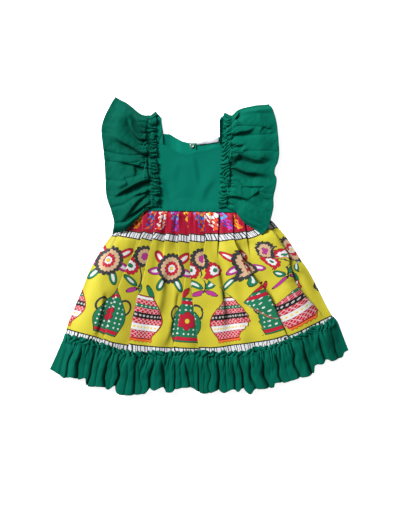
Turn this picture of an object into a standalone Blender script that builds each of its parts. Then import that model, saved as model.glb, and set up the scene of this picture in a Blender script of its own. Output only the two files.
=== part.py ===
"""A small girl's flutter-sleeve dress with a hem flounce, laid flat on its back.

The dress lies in the XY plane with its hem towards -Y and its front upwards. All sizes below are
millimetres in the dress's own frame: the middle of the laid-out dress is at X = 0, Y = 0, and the
surface that it lies on is Z = 0. Every piece of cloth is a wall on a grid of columns and rows.
"""
import math

import bmesh
import bpy
from mathutils import Vector

MILLIMETRE = 0.001
WALL = 1.5
GAP = 0.4

# Heights of the undersides of the layers, from the surface up
BACK_LIFT = 4.5
BACK_LAP = 1.8
FRONT_AT_STRAP = 7.2
FRONT_IN_MIDDLE = 5.2
FRONT_AT_WAIST = 8.0
FRONT_AT_WAIST_CORNER = 6.0
SKIRT_FRONT_AT_WAIST = 5.7
SKIRT_FRONT_LEVEL = 5.0
SKIRT_FRONT_AT_HEM = 6.9
SKIRT_BACK_AT_HEM = 4.8
RUFFLE_FRONT_LEVEL = 5.3
FRONT_AT_SIDE, HEM_AT_SIDE = 1.9, 3.7
BACK_WAVE_LIMIT = 2.6

# Waist, bodice and straps
WAIST = ((-150.0, 73.7), (-118.0, 74.8), (-60.0, 74.2), (8.0, 73.0), (80.0, 71.0), (128.0, 71.0))
WAIST_LEFT, WAIST_RIGHT = -150.0, 128.0
BACK_SEAM = 75.4
SKIRT_TUCK = 3.4
BODICE_BOTTOM, FRONT_TOP, BACK_TOP = 73.0, 220.0, 240.0
UNDERARM_LEFT, UNDERARM_RIGHT, UNDERARM_HEIGHT = -143.0, 121.0, 190.0
STRAP_LEFT_OUTER, STRAP_LEFT_INNER = -112.0, -78.0
STRAP_RIGHT_INNER, STRAP_RIGHT_OUTER = 45.0, 76.0
STRAP_TAPER = 4.0
SHOULDER_HEIGHT = 279.0
FRONT_NECK = ((-112.0, 220.0), (-78.0, 220.0), (-63.0, 212.7), (-43.0, 202.6), (-27.0, 200.4),
              (-15.8, 202.6), (-6.6, 207.0), (15.4, 209.4), (45.0, 218.0), (76.0, 218.0))
BACK_NECK = ((-112.0, 244.0), (-78.0, 244.0), (-64.0, 243.8), (-51.7, 236.3), (-35.9, 227.5),
             (-20.2, 224.0), (-6.0, 224.0), (16.0, 229.5), (45.0, 237.0), (76.0, 237.0))
BACK_LEFT_EDGE, BACK_RIGHT_EDGE = -5.5, -32.0
BACK_FLAT_LEFT, BACK_FLAT_RIGHT = -58.0, 14.0
BACK_LIFTED_LEFT, BACK_LIFTED_RIGHT = -83.0, 41.0
BACK_LAP_START, BACK_LAP_END = -52.0, -38.0

# Two soft ridges up the front bodice: place at the height 130, lean, half width, height and top
BODICE_RIDGES = (
    # place, lean, half width, height, top
    (-34.0, 0.0, 20.0, 1.1, 205.0),
    (14.0, 0.4, 14.0, 1.0, 180.0),
)

# Skirt sides from the waist to its bottom edge, and the gathering line of the flounce
SKIRT_LEFT = ((-150.0, 76.5), (-172.0, 46.0), (-191.0, 22.9), (-215.6, -12.1), (-240.0, -56.1),
              (-257.6, -99.9), (-284.0, -162.8), (-299.5, -211.0))
SKIRT_RIGHT = ((128.0, 74.0), (157.3, 55.0), (171.6, 40.7), (192.5, 15.8), (224.0, -33.0),
               (239.8, -56.0), (259.2, -92.4), (288.9, -150.7), (305.0, -170.5))
HEM_LINE = ((-298.3, -207.7), (-249.9, -217.8), (-218.2, -226.0), (-180.0, -238.0),
            (-138.6, -245.5), (-80.0, -246.0), (0.0, -244.0), (60.0, -245.5), (99.0, -243.3),
            (134.9, -235.3), (170.7, -227.0), (206.8, -213.0), (249.3, -194.6), (283.1, -181.0),
            (303.6, -167.2))
SKIRT_BELOW_HEM_LINE = 3.5
SKIRT_LENGTH = 320.0
GATHER_HEIGHT = 3.0

# Long folds of the skirt: place across the waist and across the hem (0 left, 1 right), where the
# fold starts on the way down, its height, and its width to the left and to the right
FRONT_FOLDS = (
    # waist, hem, start, height, left, right
    (0.105, 0.152, 0.05, 4.2, 0.018, 0.060),
    (0.206, 0.243, 0.04, 5.6, 0.018, 0.085),
    (0.370, 0.410, 0.30, 2.6, 0.045, 0.040),
    (0.500, 0.545, 0.10, 4.0, 0.024, 0.070),
    (0.655, 0.700, 0.08, 3.6, 0.045, 0.040),
    (0.800, 0.850, 0.12, 4.0, 0.050, 0.050),
    (0.945, 0.965, 0.20, 2.6, 0.030, 0.030),
)
BACK_FOLDS = (
    (0.140, 0.180, 0.10, 1.3, 0.040, 0.040),
    (0.330, 0.350, 0.06, 1.5, 0.040, 0.040),
    (0.520, 0.490, 0.12, 1.3, 0.040, 0.040),
    (0.700, 0.680, 0.08, 1.5, 0.040, 0.040),
    (0.860, 0.840, 0.10, 1.2, 0.040, 0.040),
)
FOLD_SHARE_AT_HEM = 0.55
SKIRT_GATHERS_FRONT, SKIRT_GATHERS_BACK = 18, 14

# Rows of the skirt from the waist down, closest where it is gathered and where the flounce lies
FRONT_ROWS = (0.0, 0.022, 0.05, 0.09, 0.15, 0.24, 0.36, 0.50, 0.64, 0.77, 0.86, 0.93, 1.0)
BACK_ROWS = (0.0, 0.07, 0.17, 0.32, 0.50, 0.68, 0.77, 0.86, 0.93, 1.0)

# Flounce: bottom edge, its ends, heading and waves
FLOUNCE_EDGE = ((-327.8, -272.8), (-305.8, -284.9), (-294.8, -291.5), (-279.4, -287.1),
                (-261.8, -293.7), (-248.6, -291.5), (-245.5, -307.0), (-211.2, -309.1),
                (-198.0, -315.7), (-185.2, -308.0), (-180.0, -321.0), (-167.2, -326.5),
                (-119.0, -324.5), (-108.0, -314.2), (-96.8, -315.7), (-79.2, -309.8),
                (-71.5, -321.5), (-60.0, -321.5), (-49.0, -314.0), (-17.6, -311.3),
                (0.0, -321.2), (15.4, -324.5), (41.8, -317.2), (55.0, -322.3), (73.7, -315.0),
                (85.8, -320.1), (94.6, -313.1), (112.2, -324.3), (122.1, -314.6),
                (162.8, -310.6), (167.2, -301.0), (187.0, -299.6), (222.2, -288.9),
                (249.9, -280.3), (254.1, -262.2), (270.6, -259.2), (280.5, -249.0),
                (290.4, -252.6), (314.6, -245.1), (319.0, -236.3), (328.5, -231.0))
FLOUNCE_HEADING = 14.0
FLOUNCE_WAVES_FRONT, FLOUNCE_WAVES_BACK = 36, 30
BACK_INSET = 3.0
# Height of the flounce's waves on the stitching, on the heading's edge and at the hem
WAVE_STITCHED, WAVE_HEADING, WAVE_HEM = 1.5, 3.6, 7.5
WAVE_BACK_SHARE = 0.7

# Flutter ruffles: the gathering line from the shoulder to the waist, the outer edge, the top edge
# where the ruffle folds over, and the lower edges of its front half and of its back half
FLUTTER_LEFT = {
    "gather": ((-108.0, 280.5), (-110.7, 264.0), (-107.8, 204.6), (-104.9, 154.0),
               (-101.9, 114.4), (-99.9, 83.6)),
    "top": ((-108.0, 280.5), (-125.4, 283.0), (-156.2, 306.0), (-184.0, 323.5)),
    "outer": ((-184.0, 323.5), (-200.2, 292.6), (-211.2, 266.2), (-213.4, 250.0),
              (-211.2, 226.6), (-206.8, 187.0), (-204.6, 147.4), (-202.4, 107.8),
              (-193.6, 81.4), (-186.0, 55.0), (-185.5, 41.8), (-190.0, 23.3)),
    "lower": ((-99.9, 83.6), (-117.7, 73.9), (-137.0, 54.6), (-158.8, 33.4), (-180.4, 26.4),
              (-190.0, 23.3)),
    "lower_back": ((-102.0, 114.0), (-140.0, 111.0), (-202.0, 108.0)),
    "heading": 15.0,
    "loop": 8.0,
}
FLUTTER_RIGHT = {
    "gather": ((72.6, 280.5), (71.7, 264.0), (66.0, 191.4), (62.5, 136.4), (58.3, 83.0)),
    "top": ((72.6, 280.5), (87.1, 293.5), (118.8, 301.5), (153.8, 307.5)),
    "outer": ((153.8, 307.5), (161.3, 297.0), (170.3, 264.0), (174.7, 218.7), (175.6, 200.2),
              (172.3, 180.4), (166.5, 167.2), (165.5, 155.0), (169.5, 146.0), (168.5, 129.8),
              (162.8, 103.4), (162.8, 83.6), (158.2, 61.6), (150.7, 37.4), (137.5, 21.6)),
    "lower": ((58.3, 83.0), (80.7, 71.3), (90.9, 57.2), (102.7, 46.2), (122.1, 34.3),
              (137.5, 21.6)),
    "lower_back": ((60.5, 112.0), (100.0, 110.0), (163.0, 108.0)),
    "heading": -17.0,
    "loop": 5.0,
}
FLUTTER_BASE, FLUTTER_BASE_LOW = 9.1, 5.5
FLUTTER_BASE_AT_WAIST, FLUTTER_BASE_AT_TIP = 10.5, 8.5
FLUTTER_PUFF = 7.5
BACK_GATHER_SHARE, BACK_OUTER_SHARE = 0.845, 0.70
PUCKERS_FRONT, PUCKERS_BACK, PUCKERS_SHOULDER = 20, 12, 1
# Height of the puckers on the stitching, on the heading's edge and just outside the stitching
PUCKER_STITCHED, PUCKER_HEADING, PUCKER_OUTSIDE = 1.6, 3.8, 2.9

# Troughs across each flutter: place on the gathering line and on the outer edge (0 shoulder,
# 1 waist), where it starts and ends on the way out (0 to 1), half width, and depth (1 is full)
TROUGHS_LEFT = (
    # inner, outer, start, end, width, depth
    (0.26, 0.02, 0.00, 0.40, 0.035, 0.8),
    (0.40, 0.26, 0.00, 1.00, 0.045, 1.0),
    (0.56, 0.44, 0.00, 1.00, 0.035, 0.8),
    (0.70, 0.75, 0.00, 1.00, 0.045, 1.0),
    (0.82, 0.78, 0.00, 0.55, 0.030, 0.8),
    (0.88, 0.93, 0.00, 1.00, 0.035, 0.9),
)
TROUGHS_RIGHT = (
    (0.19, 0.15, 0.00, 0.60, 0.035, 0.8),
    (0.30, 0.34, 0.00, 0.50, 0.030, 0.6),
    (0.42, 0.44, 0.00, 1.00, 0.035, 0.8),
    (0.57, 0.58, 0.00, 1.00, 0.045, 1.0),
    (0.76, 0.70, 0.40, 1.00, 0.045, 0.7),
    (0.90, 0.72, 0.00, 0.60, 0.035, 0.9),
)

# Small hard and woven pieces
SNAP_PLACE, SNAP_RADIUS, SNAP_HEIGHT = (-15.2, 218.0), 5.2, 1.4
LABEL_LEFT, LABEL_RIGHT, LABEL_WALL = -4.5, 43.0, 1.0
LABEL_NECK_DROP, LABEL_HEIGHT_LEFT, LABEL_HEIGHT_RIGHT = 0.6, 3.5, 10.5
# Half section of the press stud's cap: shares of its radius and of its height
SNAP_SECTION = ((0.0, 0.0), (1.0, 0.0), (1.0, 0.55), (0.86, 1.0), (0.66, 1.0), (0.56, 0.6), (0.0, 0.6))

# Grids of the pieces, and the rows across a ruffle: -1 heading's edge, 0 stitching, 1 outer edge
WAVE_COLUMNS = 3
BODICE_COLUMNS, BODICE_ROWS = 20, 10
BACK_COLUMNS, BACK_PANEL_ROWS = 10, 9
STRAP_COLUMNS, STRAP_ROWS, STRAP_TURN_ROWS = 2, 12, 4
SKIRT_FRONT_COLUMNS = SKIRT_GATHERS_FRONT * WAVE_COLUMNS
SKIRT_BACK_COLUMNS = SKIRT_GATHERS_BACK * WAVE_COLUMNS
FLOUNCE_ROWS_FRONT = (-1.0, -0.5, 0.0, 0.35, 0.7, 1.0)
FLOUNCE_ROWS_BACK = (-1.0, 0.0, 0.5, 1.0)
FLUTTER_ROWS = (-1.0, -0.45, 0.0, 0.12, 0.3, 0.55, 0.8, 1.0)
FOLD_START = PUCKERS_BACK * WAVE_COLUMNS
FOLD_END = FOLD_START + (PUCKERS_SHOULDER + 1) * WAVE_COLUMNS
FLUTTER_COLUMNS = FOLD_END + PUCKERS_FRONT * WAVE_COLUMNS
LABEL_COLUMNS, LABEL_ROWS = 6, 1
SNAP_SIDES = 16

GREEN_COTTON = (0.003, 0.150, 0.110)
GREEN_FLOUNCE = (0.003, 0.100, 0.060)
PRINTED_COTTON = (0.60, 0.50, 0.06)
WHITE_LABEL = (0.8, 0.8, 0.8)
PEARL_STUD = (0.62, 0.66, 0.58)


def mix(a, b, t):
    return a + (b - a) * t


def smooth(t):
    t = min(max(t, 0.0), 1.0)
    return t * t * (3.0 - 2.0 * t)


def curve_at(points, t):
    """A point at the share t of the length of a smooth curve through the points."""
    points = [Vector(p) for p in points]
    lengths = [(b - a).length for a, b in zip(points, points[1:])]
    place = min(max(t, 0.0), 1.0) * sum(lengths)
    i = 0
    while i < len(lengths) - 1 and place > lengths[i]:
        place -= lengths[i]
        i += 1

    def tangent(k):
        first, last = max(k - 1, 0), min(k + 1, len(lengths))
        return (points[last] - points[first]) / sum(lengths[first:last])
    share = place / lengths[i]
    leaving = share * (1.0 - share) ** 2
    arriving = -share * share * (1.0 - share)
    bend = (tangent(i) * leaving + tangent(i + 1) * arriving) * lengths[i]
    return points[i].lerp(points[i + 1], smooth(share)) + bend


def height_on(points, x):
    """The Y of an outline at x, in straight steps between its points."""
    if x <= points[0][0]:
        return points[0][1]
    for a, b in zip(points, points[1:]):
        if x <= b[0]:
            return mix(a[1], b[1], (x - a[0]) / (b[0] - a[0]))
    return points[-1][1]


def patch_at(top, bottom, left, right, u, v):
    """A point inside four edges that meet at their corners, u across and v down."""
    across = top(u).lerp(bottom(u), v)
    down = left(v).lerp(right(v), u)
    upper = top(0.0).lerp(top(1.0), u)
    lower = bottom(0.0).lerp(bottom(1.0), u)
    return across + down - upper.lerp(lower, v)


def flute(phase):
    """Height of one gather or wave, 0 in its narrow valley and 1 over its broad crest."""
    return 1.0 - (1.0 - abs(math.sin(math.pi * phase))) ** 2


def uneven(share, sway, start):
    """Spread even shares unevenly between 0 and 1, so that no two waves are alike."""
    turn = 2.0 * math.pi * share
    pushed = math.sin(3.0 * turn + start) / 9.0 + math.sin(7.0 * turn + 2.0 * start) / 21.0
    at_ends = math.sin(start) / 9.0 + math.sin(2.0 * start) / 21.0
    return share + sway * (pushed - at_ends)


def wave_size(phase, start):
    """Share of full height that the wave at this phase has."""
    return 0.82 + 0.18 * math.sin(2.4 * math.floor(phase + 0.01) + start)


def at_side(u):
    """0 at the side seams and 1 away from them."""
    return smooth(min(u, 1.0 - u) / 0.08)


def plain_material(name, colour, roughness, metallic=0.0):
    material = bpy.data.materials.new(name)
    material.use_nodes = True
    shader = material.node_tree.nodes["Principled BSDF"]
    shader.inputs["Base Color"].default_value = (*colour, 1.0)
    shader.inputs["Roughness"].default_value = roughness
    shader.inputs["Metallic"].default_value = metallic
    material.diffuse_color = (*colour, 1.0)
    return material


def cloth(name, columns, rows, point_at, material, wall=WALL, mirrored=False):
    """A wall of cloth on a grid. point_at takes a column and a row and gives millimetres, and the
    wall's thickness is added on the side that the front of the grid faces."""
    mesh = bpy.data.meshes.new(name)
    sheet = bmesh.new()
    bmesh.ops.create_grid(sheet, x_segments=columns, y_segments=rows, size=0.5)
    for vertex in sheet.verts:
        column = round((vertex.co.x + 0.5) * columns)
        row = round((0.5 - vertex.co.y) * rows)
        vertex.co = Vector(point_at(column, row)) * MILLIMETRE
    if mirrored:
        bmesh.ops.reverse_faces(sheet, faces=sheet.faces)
    sheet.to_mesh(mesh)
    sheet.free()
    mesh.shade_smooth()
    mesh.materials.append(material)
    piece = bpy.data.objects.new(name, mesh)
    bpy.context.collection.objects.link(piece)
    thickness = piece.modifiers.new("Wall", "SOLIDIFY")
    thickness.thickness = wall * MILLIMETRE
    thickness.offset = 1.0
    return piece


def bodice_sides(y, top):
    """The left and right edges of the bodice at the height y: side seams, then armholes."""
    if y <= UNDERARM_HEIGHT:
        share = (y - WAIST[0][1]) / (UNDERARM_HEIGHT - WAIST[0][1])
        return mix(WAIST_LEFT, UNDERARM_LEFT, share), mix(WAIST_RIGHT, UNDERARM_RIGHT, share)
    share = smooth((y - UNDERARM_HEIGHT) / (top - UNDERARM_HEIGHT)) ** 0.6
    return (mix(UNDERARM_LEFT, STRAP_LEFT_OUTER, share), mix(UNDERARM_RIGHT, STRAP_RIGHT_OUTER, share))


def back_bodice_height(x, y, lap):
    """Underside of the back: flat on the surface, and raised over the ruffles' back halves."""
    left = smooth((BACK_FLAT_LEFT - x) / (BACK_FLAT_LEFT - BACK_LIFTED_LEFT))
    right = smooth((x - BACK_FLAT_RIGHT) / (BACK_LIFTED_RIGHT - BACK_FLAT_RIGHT))
    raised = BACK_LIFT * max(left, right) * smooth((y - 78.0) / 28.0)
    return max(raised, lap)


def left_back_lap(x):
    """The left back lies over the right one along the centre back."""
    return BACK_LAP * smooth((x - BACK_LAP_START) / (BACK_LAP_END - BACK_LAP_START))


def front_bodice_height(x, y):
    middle = 0.5 * (WAIST_LEFT + WAIST_RIGHT)
    from_middle = abs(x - middle) / (0.5 * (WAIST_RIGHT - WAIST_LEFT))
    height = mix(FRONT_IN_MIDDLE, FRONT_AT_STRAP, smooth((from_middle - 0.15) / 0.45))
    for place, lean, width, rise, top in BODICE_RIDGES:
        distance = x - place - lean * (y - 130.0)
        height += rise * math.exp(-(distance / width) ** 2) * smooth((top - y) / 40.0)
    height = mix(height, FRONT_AT_WAIST, smooth((98.0 - y) / 20.0))
    corner = mix(FRONT_AT_WAIST_CORNER, FRONT_AT_STRAP, smooth((y - 75.0) / 16.0))
    return mix(corner, height, smooth((1.0 - from_middle) / 0.10))


def bodice_front_point(column, row):
    u, v = column / BODICE_COLUMNS, row / BODICE_ROWS
    top_x = mix(STRAP_LEFT_OUTER, STRAP_RIGHT_OUTER, u)
    waist_y = curve_at(WAIST, u).y
    neck_y = height_on(FRONT_NECK, top_x)
    y = mix(neck_y, waist_y, v)
    left, right = bodice_sides(mix(FRONT_TOP, BODICE_BOTTOM, v), FRONT_TOP)
    x = mix(left, right, u)
    return x, y, front_bodice_height(x, y)


def back_panel(first, last, lap, columns, rows):
    """Points of a back panel between two shares of the bodice's width, first and last."""
    def point_at(column, row):
        v = row / rows
        left, right = bodice_sides(mix(BACK_TOP, BODICE_BOTTOM, v), BACK_TOP)
        start = left if first is None else first
        end = right if last is None else last
        top_start = STRAP_LEFT_OUTER if first is None else first
        top_end = STRAP_RIGHT_OUTER if last is None else last
        u = column / columns
        x = mix(start, end, u)
        y = mix(height_on(BACK_NECK, mix(top_start, top_end, u)), BACK_SEAM, v)
        return x, y, back_bodice_height(x, y, lap(x))
    return point_at


def strap_point(first, last, front_end, back_end, taper):
    """A band on its inner face, from its front end over the shoulder to its back end. The taper
    narrows its first side towards the shoulder."""
    back_level = BACK_LIFT + WALL
    radius = 0.5 * (FRONT_AT_STRAP - back_level)
    straight = (STRAP_ROWS - STRAP_TURN_ROWS) // 2

    def point_at(column, row):
        rising = row / straight
        falling = (row - straight - STRAP_TURN_ROWS) / straight
        narrow = taper * smooth(min(rising, 1.0 - falling))
        x = mix(first - narrow, last, column / STRAP_COLUMNS)
        if rising <= 1.0:
            return x, mix(front_end + GAP, SHOULDER_HEIGHT, rising), FRONT_AT_STRAP
        if falling >= 0.0:
            return x, mix(SHOULDER_HEIGHT, back_end + GAP, falling), back_level
        angle = math.pi * (0.5 - (row - straight) / STRAP_TURN_ROWS)
        y = SHOULDER_HEIGHT + radius * math.cos(angle)
        return x, y, 0.5 * (FRONT_AT_STRAP + back_level) + radius * math.sin(angle)
    return point_at


def hem_line(u):
    return curve_at(HEM_LINE, u)


def skirt_plan(u, v):
    """Place of the skirt seen from above: u from left to right, v from the waist down."""
    def top(share):
        place = curve_at(WAIST, share)
        lift = mix(SKIRT_LEFT[0][1] - WAIST[0][1], SKIRT_RIGHT[0][1] - WAIST[-1][1], share)
        return Vector((place.x, place.y + lift))

    def bottom(share):
        left_drop = Vector(SKIRT_LEFT[-1]) - Vector(HEM_LINE[0])
        right_drop = Vector(SKIRT_RIGHT[-1]) - Vector(HEM_LINE[-1])
        return hem_line(share) + left_drop.lerp(right_drop, share)

    def left(share):
        return curve_at(SKIRT_LEFT, share)

    def right(share):
        return curve_at(SKIRT_RIGHT, share)
    return patch_at(top, bottom, left, right, u, v)


def fold_height(folds, u, v):
    height = 0.0
    for waist, hem, start, rise, left, right in folds:
        distance = u - mix(waist, hem, v)
        width = left if distance < 0.0 else right
        grown = smooth((v - start) / 0.25) * mix(1.0, FOLD_SHARE_AT_HEM, smooth((v - 0.78) / 0.2))
        height = max(height, rise * grown * math.exp(-(distance / width) ** 2))
    return height


def gather_height(phase, v, start):
    fading = smooth((v - 0.004) / 0.06) * math.exp(-(v / 0.36) ** 2)
    return GATHER_HEIGHT * fading * flute(phase) * wave_size(phase, start)


def skirt_front_height(u, v, phase):
    side = at_side(u)
    level = mix(FRONT_AT_SIDE, SKIRT_FRONT_LEVEL, side)
    at_waist = mix(FRONT_AT_SIDE, SKIRT_FRONT_AT_WAIST, side)
    at_hem = mix(HEM_AT_SIDE, SKIRT_FRONT_AT_HEM, side)
    height = mix(at_waist, level, smooth((v - 0.02) / 0.06))
    height = mix(height, at_hem, smooth((v - 0.80) / 0.10))
    return height + side * (gather_height(phase, v, 0.7) + fold_height(FRONT_FOLDS, u, v))


def skirt_back_height(u, v, phase):
    side = at_side(u)
    over_flounce = smooth((v - 0.80) / 0.10)
    folds = fold_height(BACK_FOLDS, u, v) * (1.0 - over_flounce)
    waves = 0.6 * gather_height(phase, v, 1.9) + folds
    height = mix(FRONT_AT_SIDE, SKIRT_BACK_AT_HEM, side) * over_flounce
    return height + side * min(waves, BACK_WAVE_LIMIT)


def skirt_front_point(column, row):
    u = uneven(column / SKIRT_FRONT_COLUMNS, 0.10, 0.0)
    v = FRONT_ROWS[row]
    place = skirt_plan(u, v)
    return place.x, place.y, skirt_front_height(u, v, column / WAVE_COLUMNS)


def skirt_back_point(column, row):
    u = uneven(column / SKIRT_BACK_COLUMNS, 0.08, 0.0)
    v = BACK_ROWS[row]
    place = skirt_plan(u, v)
    untucked = SKIRT_TUCK if row == 0 else 0.0
    return place.x, place.y - untucked, skirt_back_height(u, v, column / WAVE_COLUMNS)


def flounce_plan(u, r, inset):
    """Place of the flounce: r is -1 on the heading's edge, 0 on the stitching, 1 on the hem."""
    stitched = hem_line(u)
    if r < 0.0:
        above = skirt_plan(u, 0.9)
        return stitched + (above - stitched).normalized() * (-r * FLOUNCE_HEADING)
    edge = curve_at(FLOUNCE_EDGE, u)
    edge = edge + (stitched - edge).normalized() * inset
    return stitched.lerp(edge, r)


def flounce_wave(r):
    """Height of the flounce's waves, least where the stitching holds them."""
    if r < 0.0:
        return mix(WAVE_STITCHED, WAVE_HEADING, -r)
    return mix(WAVE_STITCHED, WAVE_HEM, smooth(r / 0.9))


def flounce_front_point(column, row):
    phase = column / WAVE_COLUMNS
    u = uneven(column / (FLOUNCE_WAVES_FRONT * WAVE_COLUMNS), 0.06, 0.0)
    r = FLOUNCE_ROWS_FRONT[row]
    place = flounce_plan(u, r, 0.0)
    side = at_side(u)
    v = 1.0 - (SKIRT_BELOW_HEM_LINE - min(r, 0.0) * FLOUNCE_HEADING) / SKIRT_LENGTH
    on_skirt = skirt_front_height(u, v, 0.0) + WALL + 2.0 * GAP
    low = mix(FRONT_AT_SIDE, RUFFLE_FRONT_LEVEL, side)
    base = mix(on_skirt, low, smooth((r - 0.05) / 0.6))
    height = base + side * flounce_wave(r) * flute(phase) * wave_size(phase, 0.3)
    return place.x, place.y, height


def flounce_back_point(column, row):
    phase = column / WAVE_COLUMNS
    u = uneven(column / (FLOUNCE_WAVES_BACK * WAVE_COLUMNS), 0.05, 0.0)
    r = FLOUNCE_ROWS_BACK[row]
    place = flounce_plan(u, r, BACK_INSET)
    side = at_side(u)
    wave = side * min(BACK_WAVE_LIMIT, flounce_wave(r) * WAVE_BACK_SHARE)
    return place.x, place.y, wave * (1.0 - flute(phase))


def pucker_height(r):
    if r < 0.0:
        return mix(PUCKER_STITCHED, PUCKER_HEADING, -r)
    outside = PUCKER_OUTSIDE * smooth(r / 0.08) * math.exp(-(r / 0.42) ** 2)
    return PUCKER_STITCHED * (1.0 - smooth(r / 0.05)) + outside


def trough_share(troughs, s, r):
    """What is left of the ruffle's fullness between its troughs."""
    left_over = 1.0
    for inner, outer, start, end, width, depth in troughs:
        reach = smooth((r - start + 0.1) / 0.1) * smooth((end + 0.1 - r) / 0.1)
        distance = s - mix(inner, outer, r)
        left_over *= 1.0 - depth * reach * math.exp(-(distance / width) ** 2)
    return left_over


def flutter_plan(cut, lower, s, r):
    """Place of a flutter ruffle: s from the shoulder down, r from the stitching to its edge."""
    gather_share = BACK_GATHER_SHARE if lower == "lower_back" else 1.0
    outer_share = BACK_OUTER_SHARE if lower == "lower_back" else 1.0
    if r <= 0.0:
        loop = cut["loop"] * smooth(-r) * math.exp(-(s / 0.035) ** 2)
        return curve_at(cut["gather"], s * gather_share) + Vector((-r * cut["heading"], loop))
    return patch_at(
        lambda share: curve_at(cut["top"], share), lambda share: curve_at(cut[lower], share),
        lambda share: curve_at(cut["gather"], share * gather_share),
        lambda share: curve_at(cut["outer"], share * outer_share), r, s)


def flutter_base(s, r):
    """Underside of a flutter's front half, lowest at its outer edge."""
    base = mix(FLUTTER_BASE, FLUTTER_BASE_LOW, smooth((r - 0.62) / 0.3))
    at_waist = mix(FLUTTER_BASE_AT_WAIST, FLUTTER_BASE_AT_TIP, smooth((r - 0.5) / 0.5))
    return mix(base, at_waist, smooth((s - 0.74) / 0.10))


def flutter_point(cut, troughs):
    """Points of a flutter ruffle on its inner face: back half, fold at the shoulder, front half."""
    inward = math.copysign(BACK_INSET, cut["heading"])

    def point_at(column, row):
        r = FLUTTER_ROWS[row]
        phase = column / WAVE_COLUMNS
        pucker = pucker_height(r) * flute(phase) * wave_size(phase, 1.1)
        back_wave = min(BACK_WAVE_LIMIT, pucker_height(r) + 1.2 * smooth(r / 0.5))
        back_base = WALL + back_wave
        if column >= FOLD_END:
            s = uneven((column - FOLD_END) / (PUCKERS_FRONT * WAVE_COLUMNS), 0.10, 0.0)
            place = flutter_plan(cut, "lower", s, r)
            puff = FLUTTER_PUFF * smooth(r / 0.45) * mix(1.0, 0.7, smooth((r - 0.6) / 0.4))
            puff *= trough_share(troughs, s, r) * smooth(s / 0.10) * smooth((1.02 - s) / 0.08)
            return place.x, place.y, flutter_base(s, r) + puff + pucker
        if column <= FOLD_START:
            s = 1.0 - column / FOLD_START
            place = flutter_plan(cut, "lower_back", s, r)
            inset = inward * smooth(r / 0.5) * smooth(s / 0.2)
            return place.x + inset, place.y, back_base - back_wave * flute(phase)
        turn = (column - FOLD_START) / (FOLD_END - FOLD_START)
        angle = math.pi * (turn - 0.5)
        radius = 0.5 * (flutter_base(0.0, r) - back_base)
        place = flutter_plan(cut, "lower", 0.0, r)
        reach = radius + min(pucker, back_wave)
        return (place.x, place.y + reach * math.cos(angle),
                back_base + radius + reach * math.sin(angle))
    return point_at


def label_point(column, row):
    x = mix(LABEL_LEFT, LABEL_RIGHT, column / LABEL_COLUMNS)
    height = mix(LABEL_HEIGHT_LEFT, LABEL_HEIGHT_RIGHT, column / LABEL_COLUMNS)
    y = height_on(BACK_NECK, x) - LABEL_NECK_DROP - height * row / LABEL_ROWS
    return x, y, back_bodice_height(x, y, 0.0) + WALL + GAP


def make_snap(material):
    """A press stud's ring-edged cap on the inside of the left back."""
    x, y = SNAP_PLACE
    level = BACK_LAP + WALL + GAP
    mesh = bpy.data.meshes.new("back_snap")
    cap = bmesh.new()
    corners = [cap.verts.new((SNAP_RADIUS * r * MILLIMETRE, 0.0, SNAP_HEIGHT * h * MILLIMETRE))
               for r, h in SNAP_SECTION]
    edges = [cap.edges.new(pair) for pair in zip(corners, corners[1:])]
    bmesh.ops.spin(cap, geom=corners + edges, cent=(0.0, 0.0, 0.0), axis=(0.0, 0.0, 1.0),
                   angle=2.0 * math.pi, steps=SNAP_SIDES, use_merge=True)
    bmesh.ops.remove_doubles(cap, verts=cap.verts, dist=0.00001)
    bmesh.ops.recalc_face_normals(cap, faces=cap.faces)
    bmesh.ops.translate(cap, verts=cap.verts, vec=Vector((x, y, level)) * MILLIMETRE)
    cap.to_mesh(mesh)
    cap.free()
    mesh.materials.append(material)
    snap = bpy.data.objects.new("back_snap", mesh)
    bpy.context.collection.objects.link(snap)
    return snap


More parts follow.
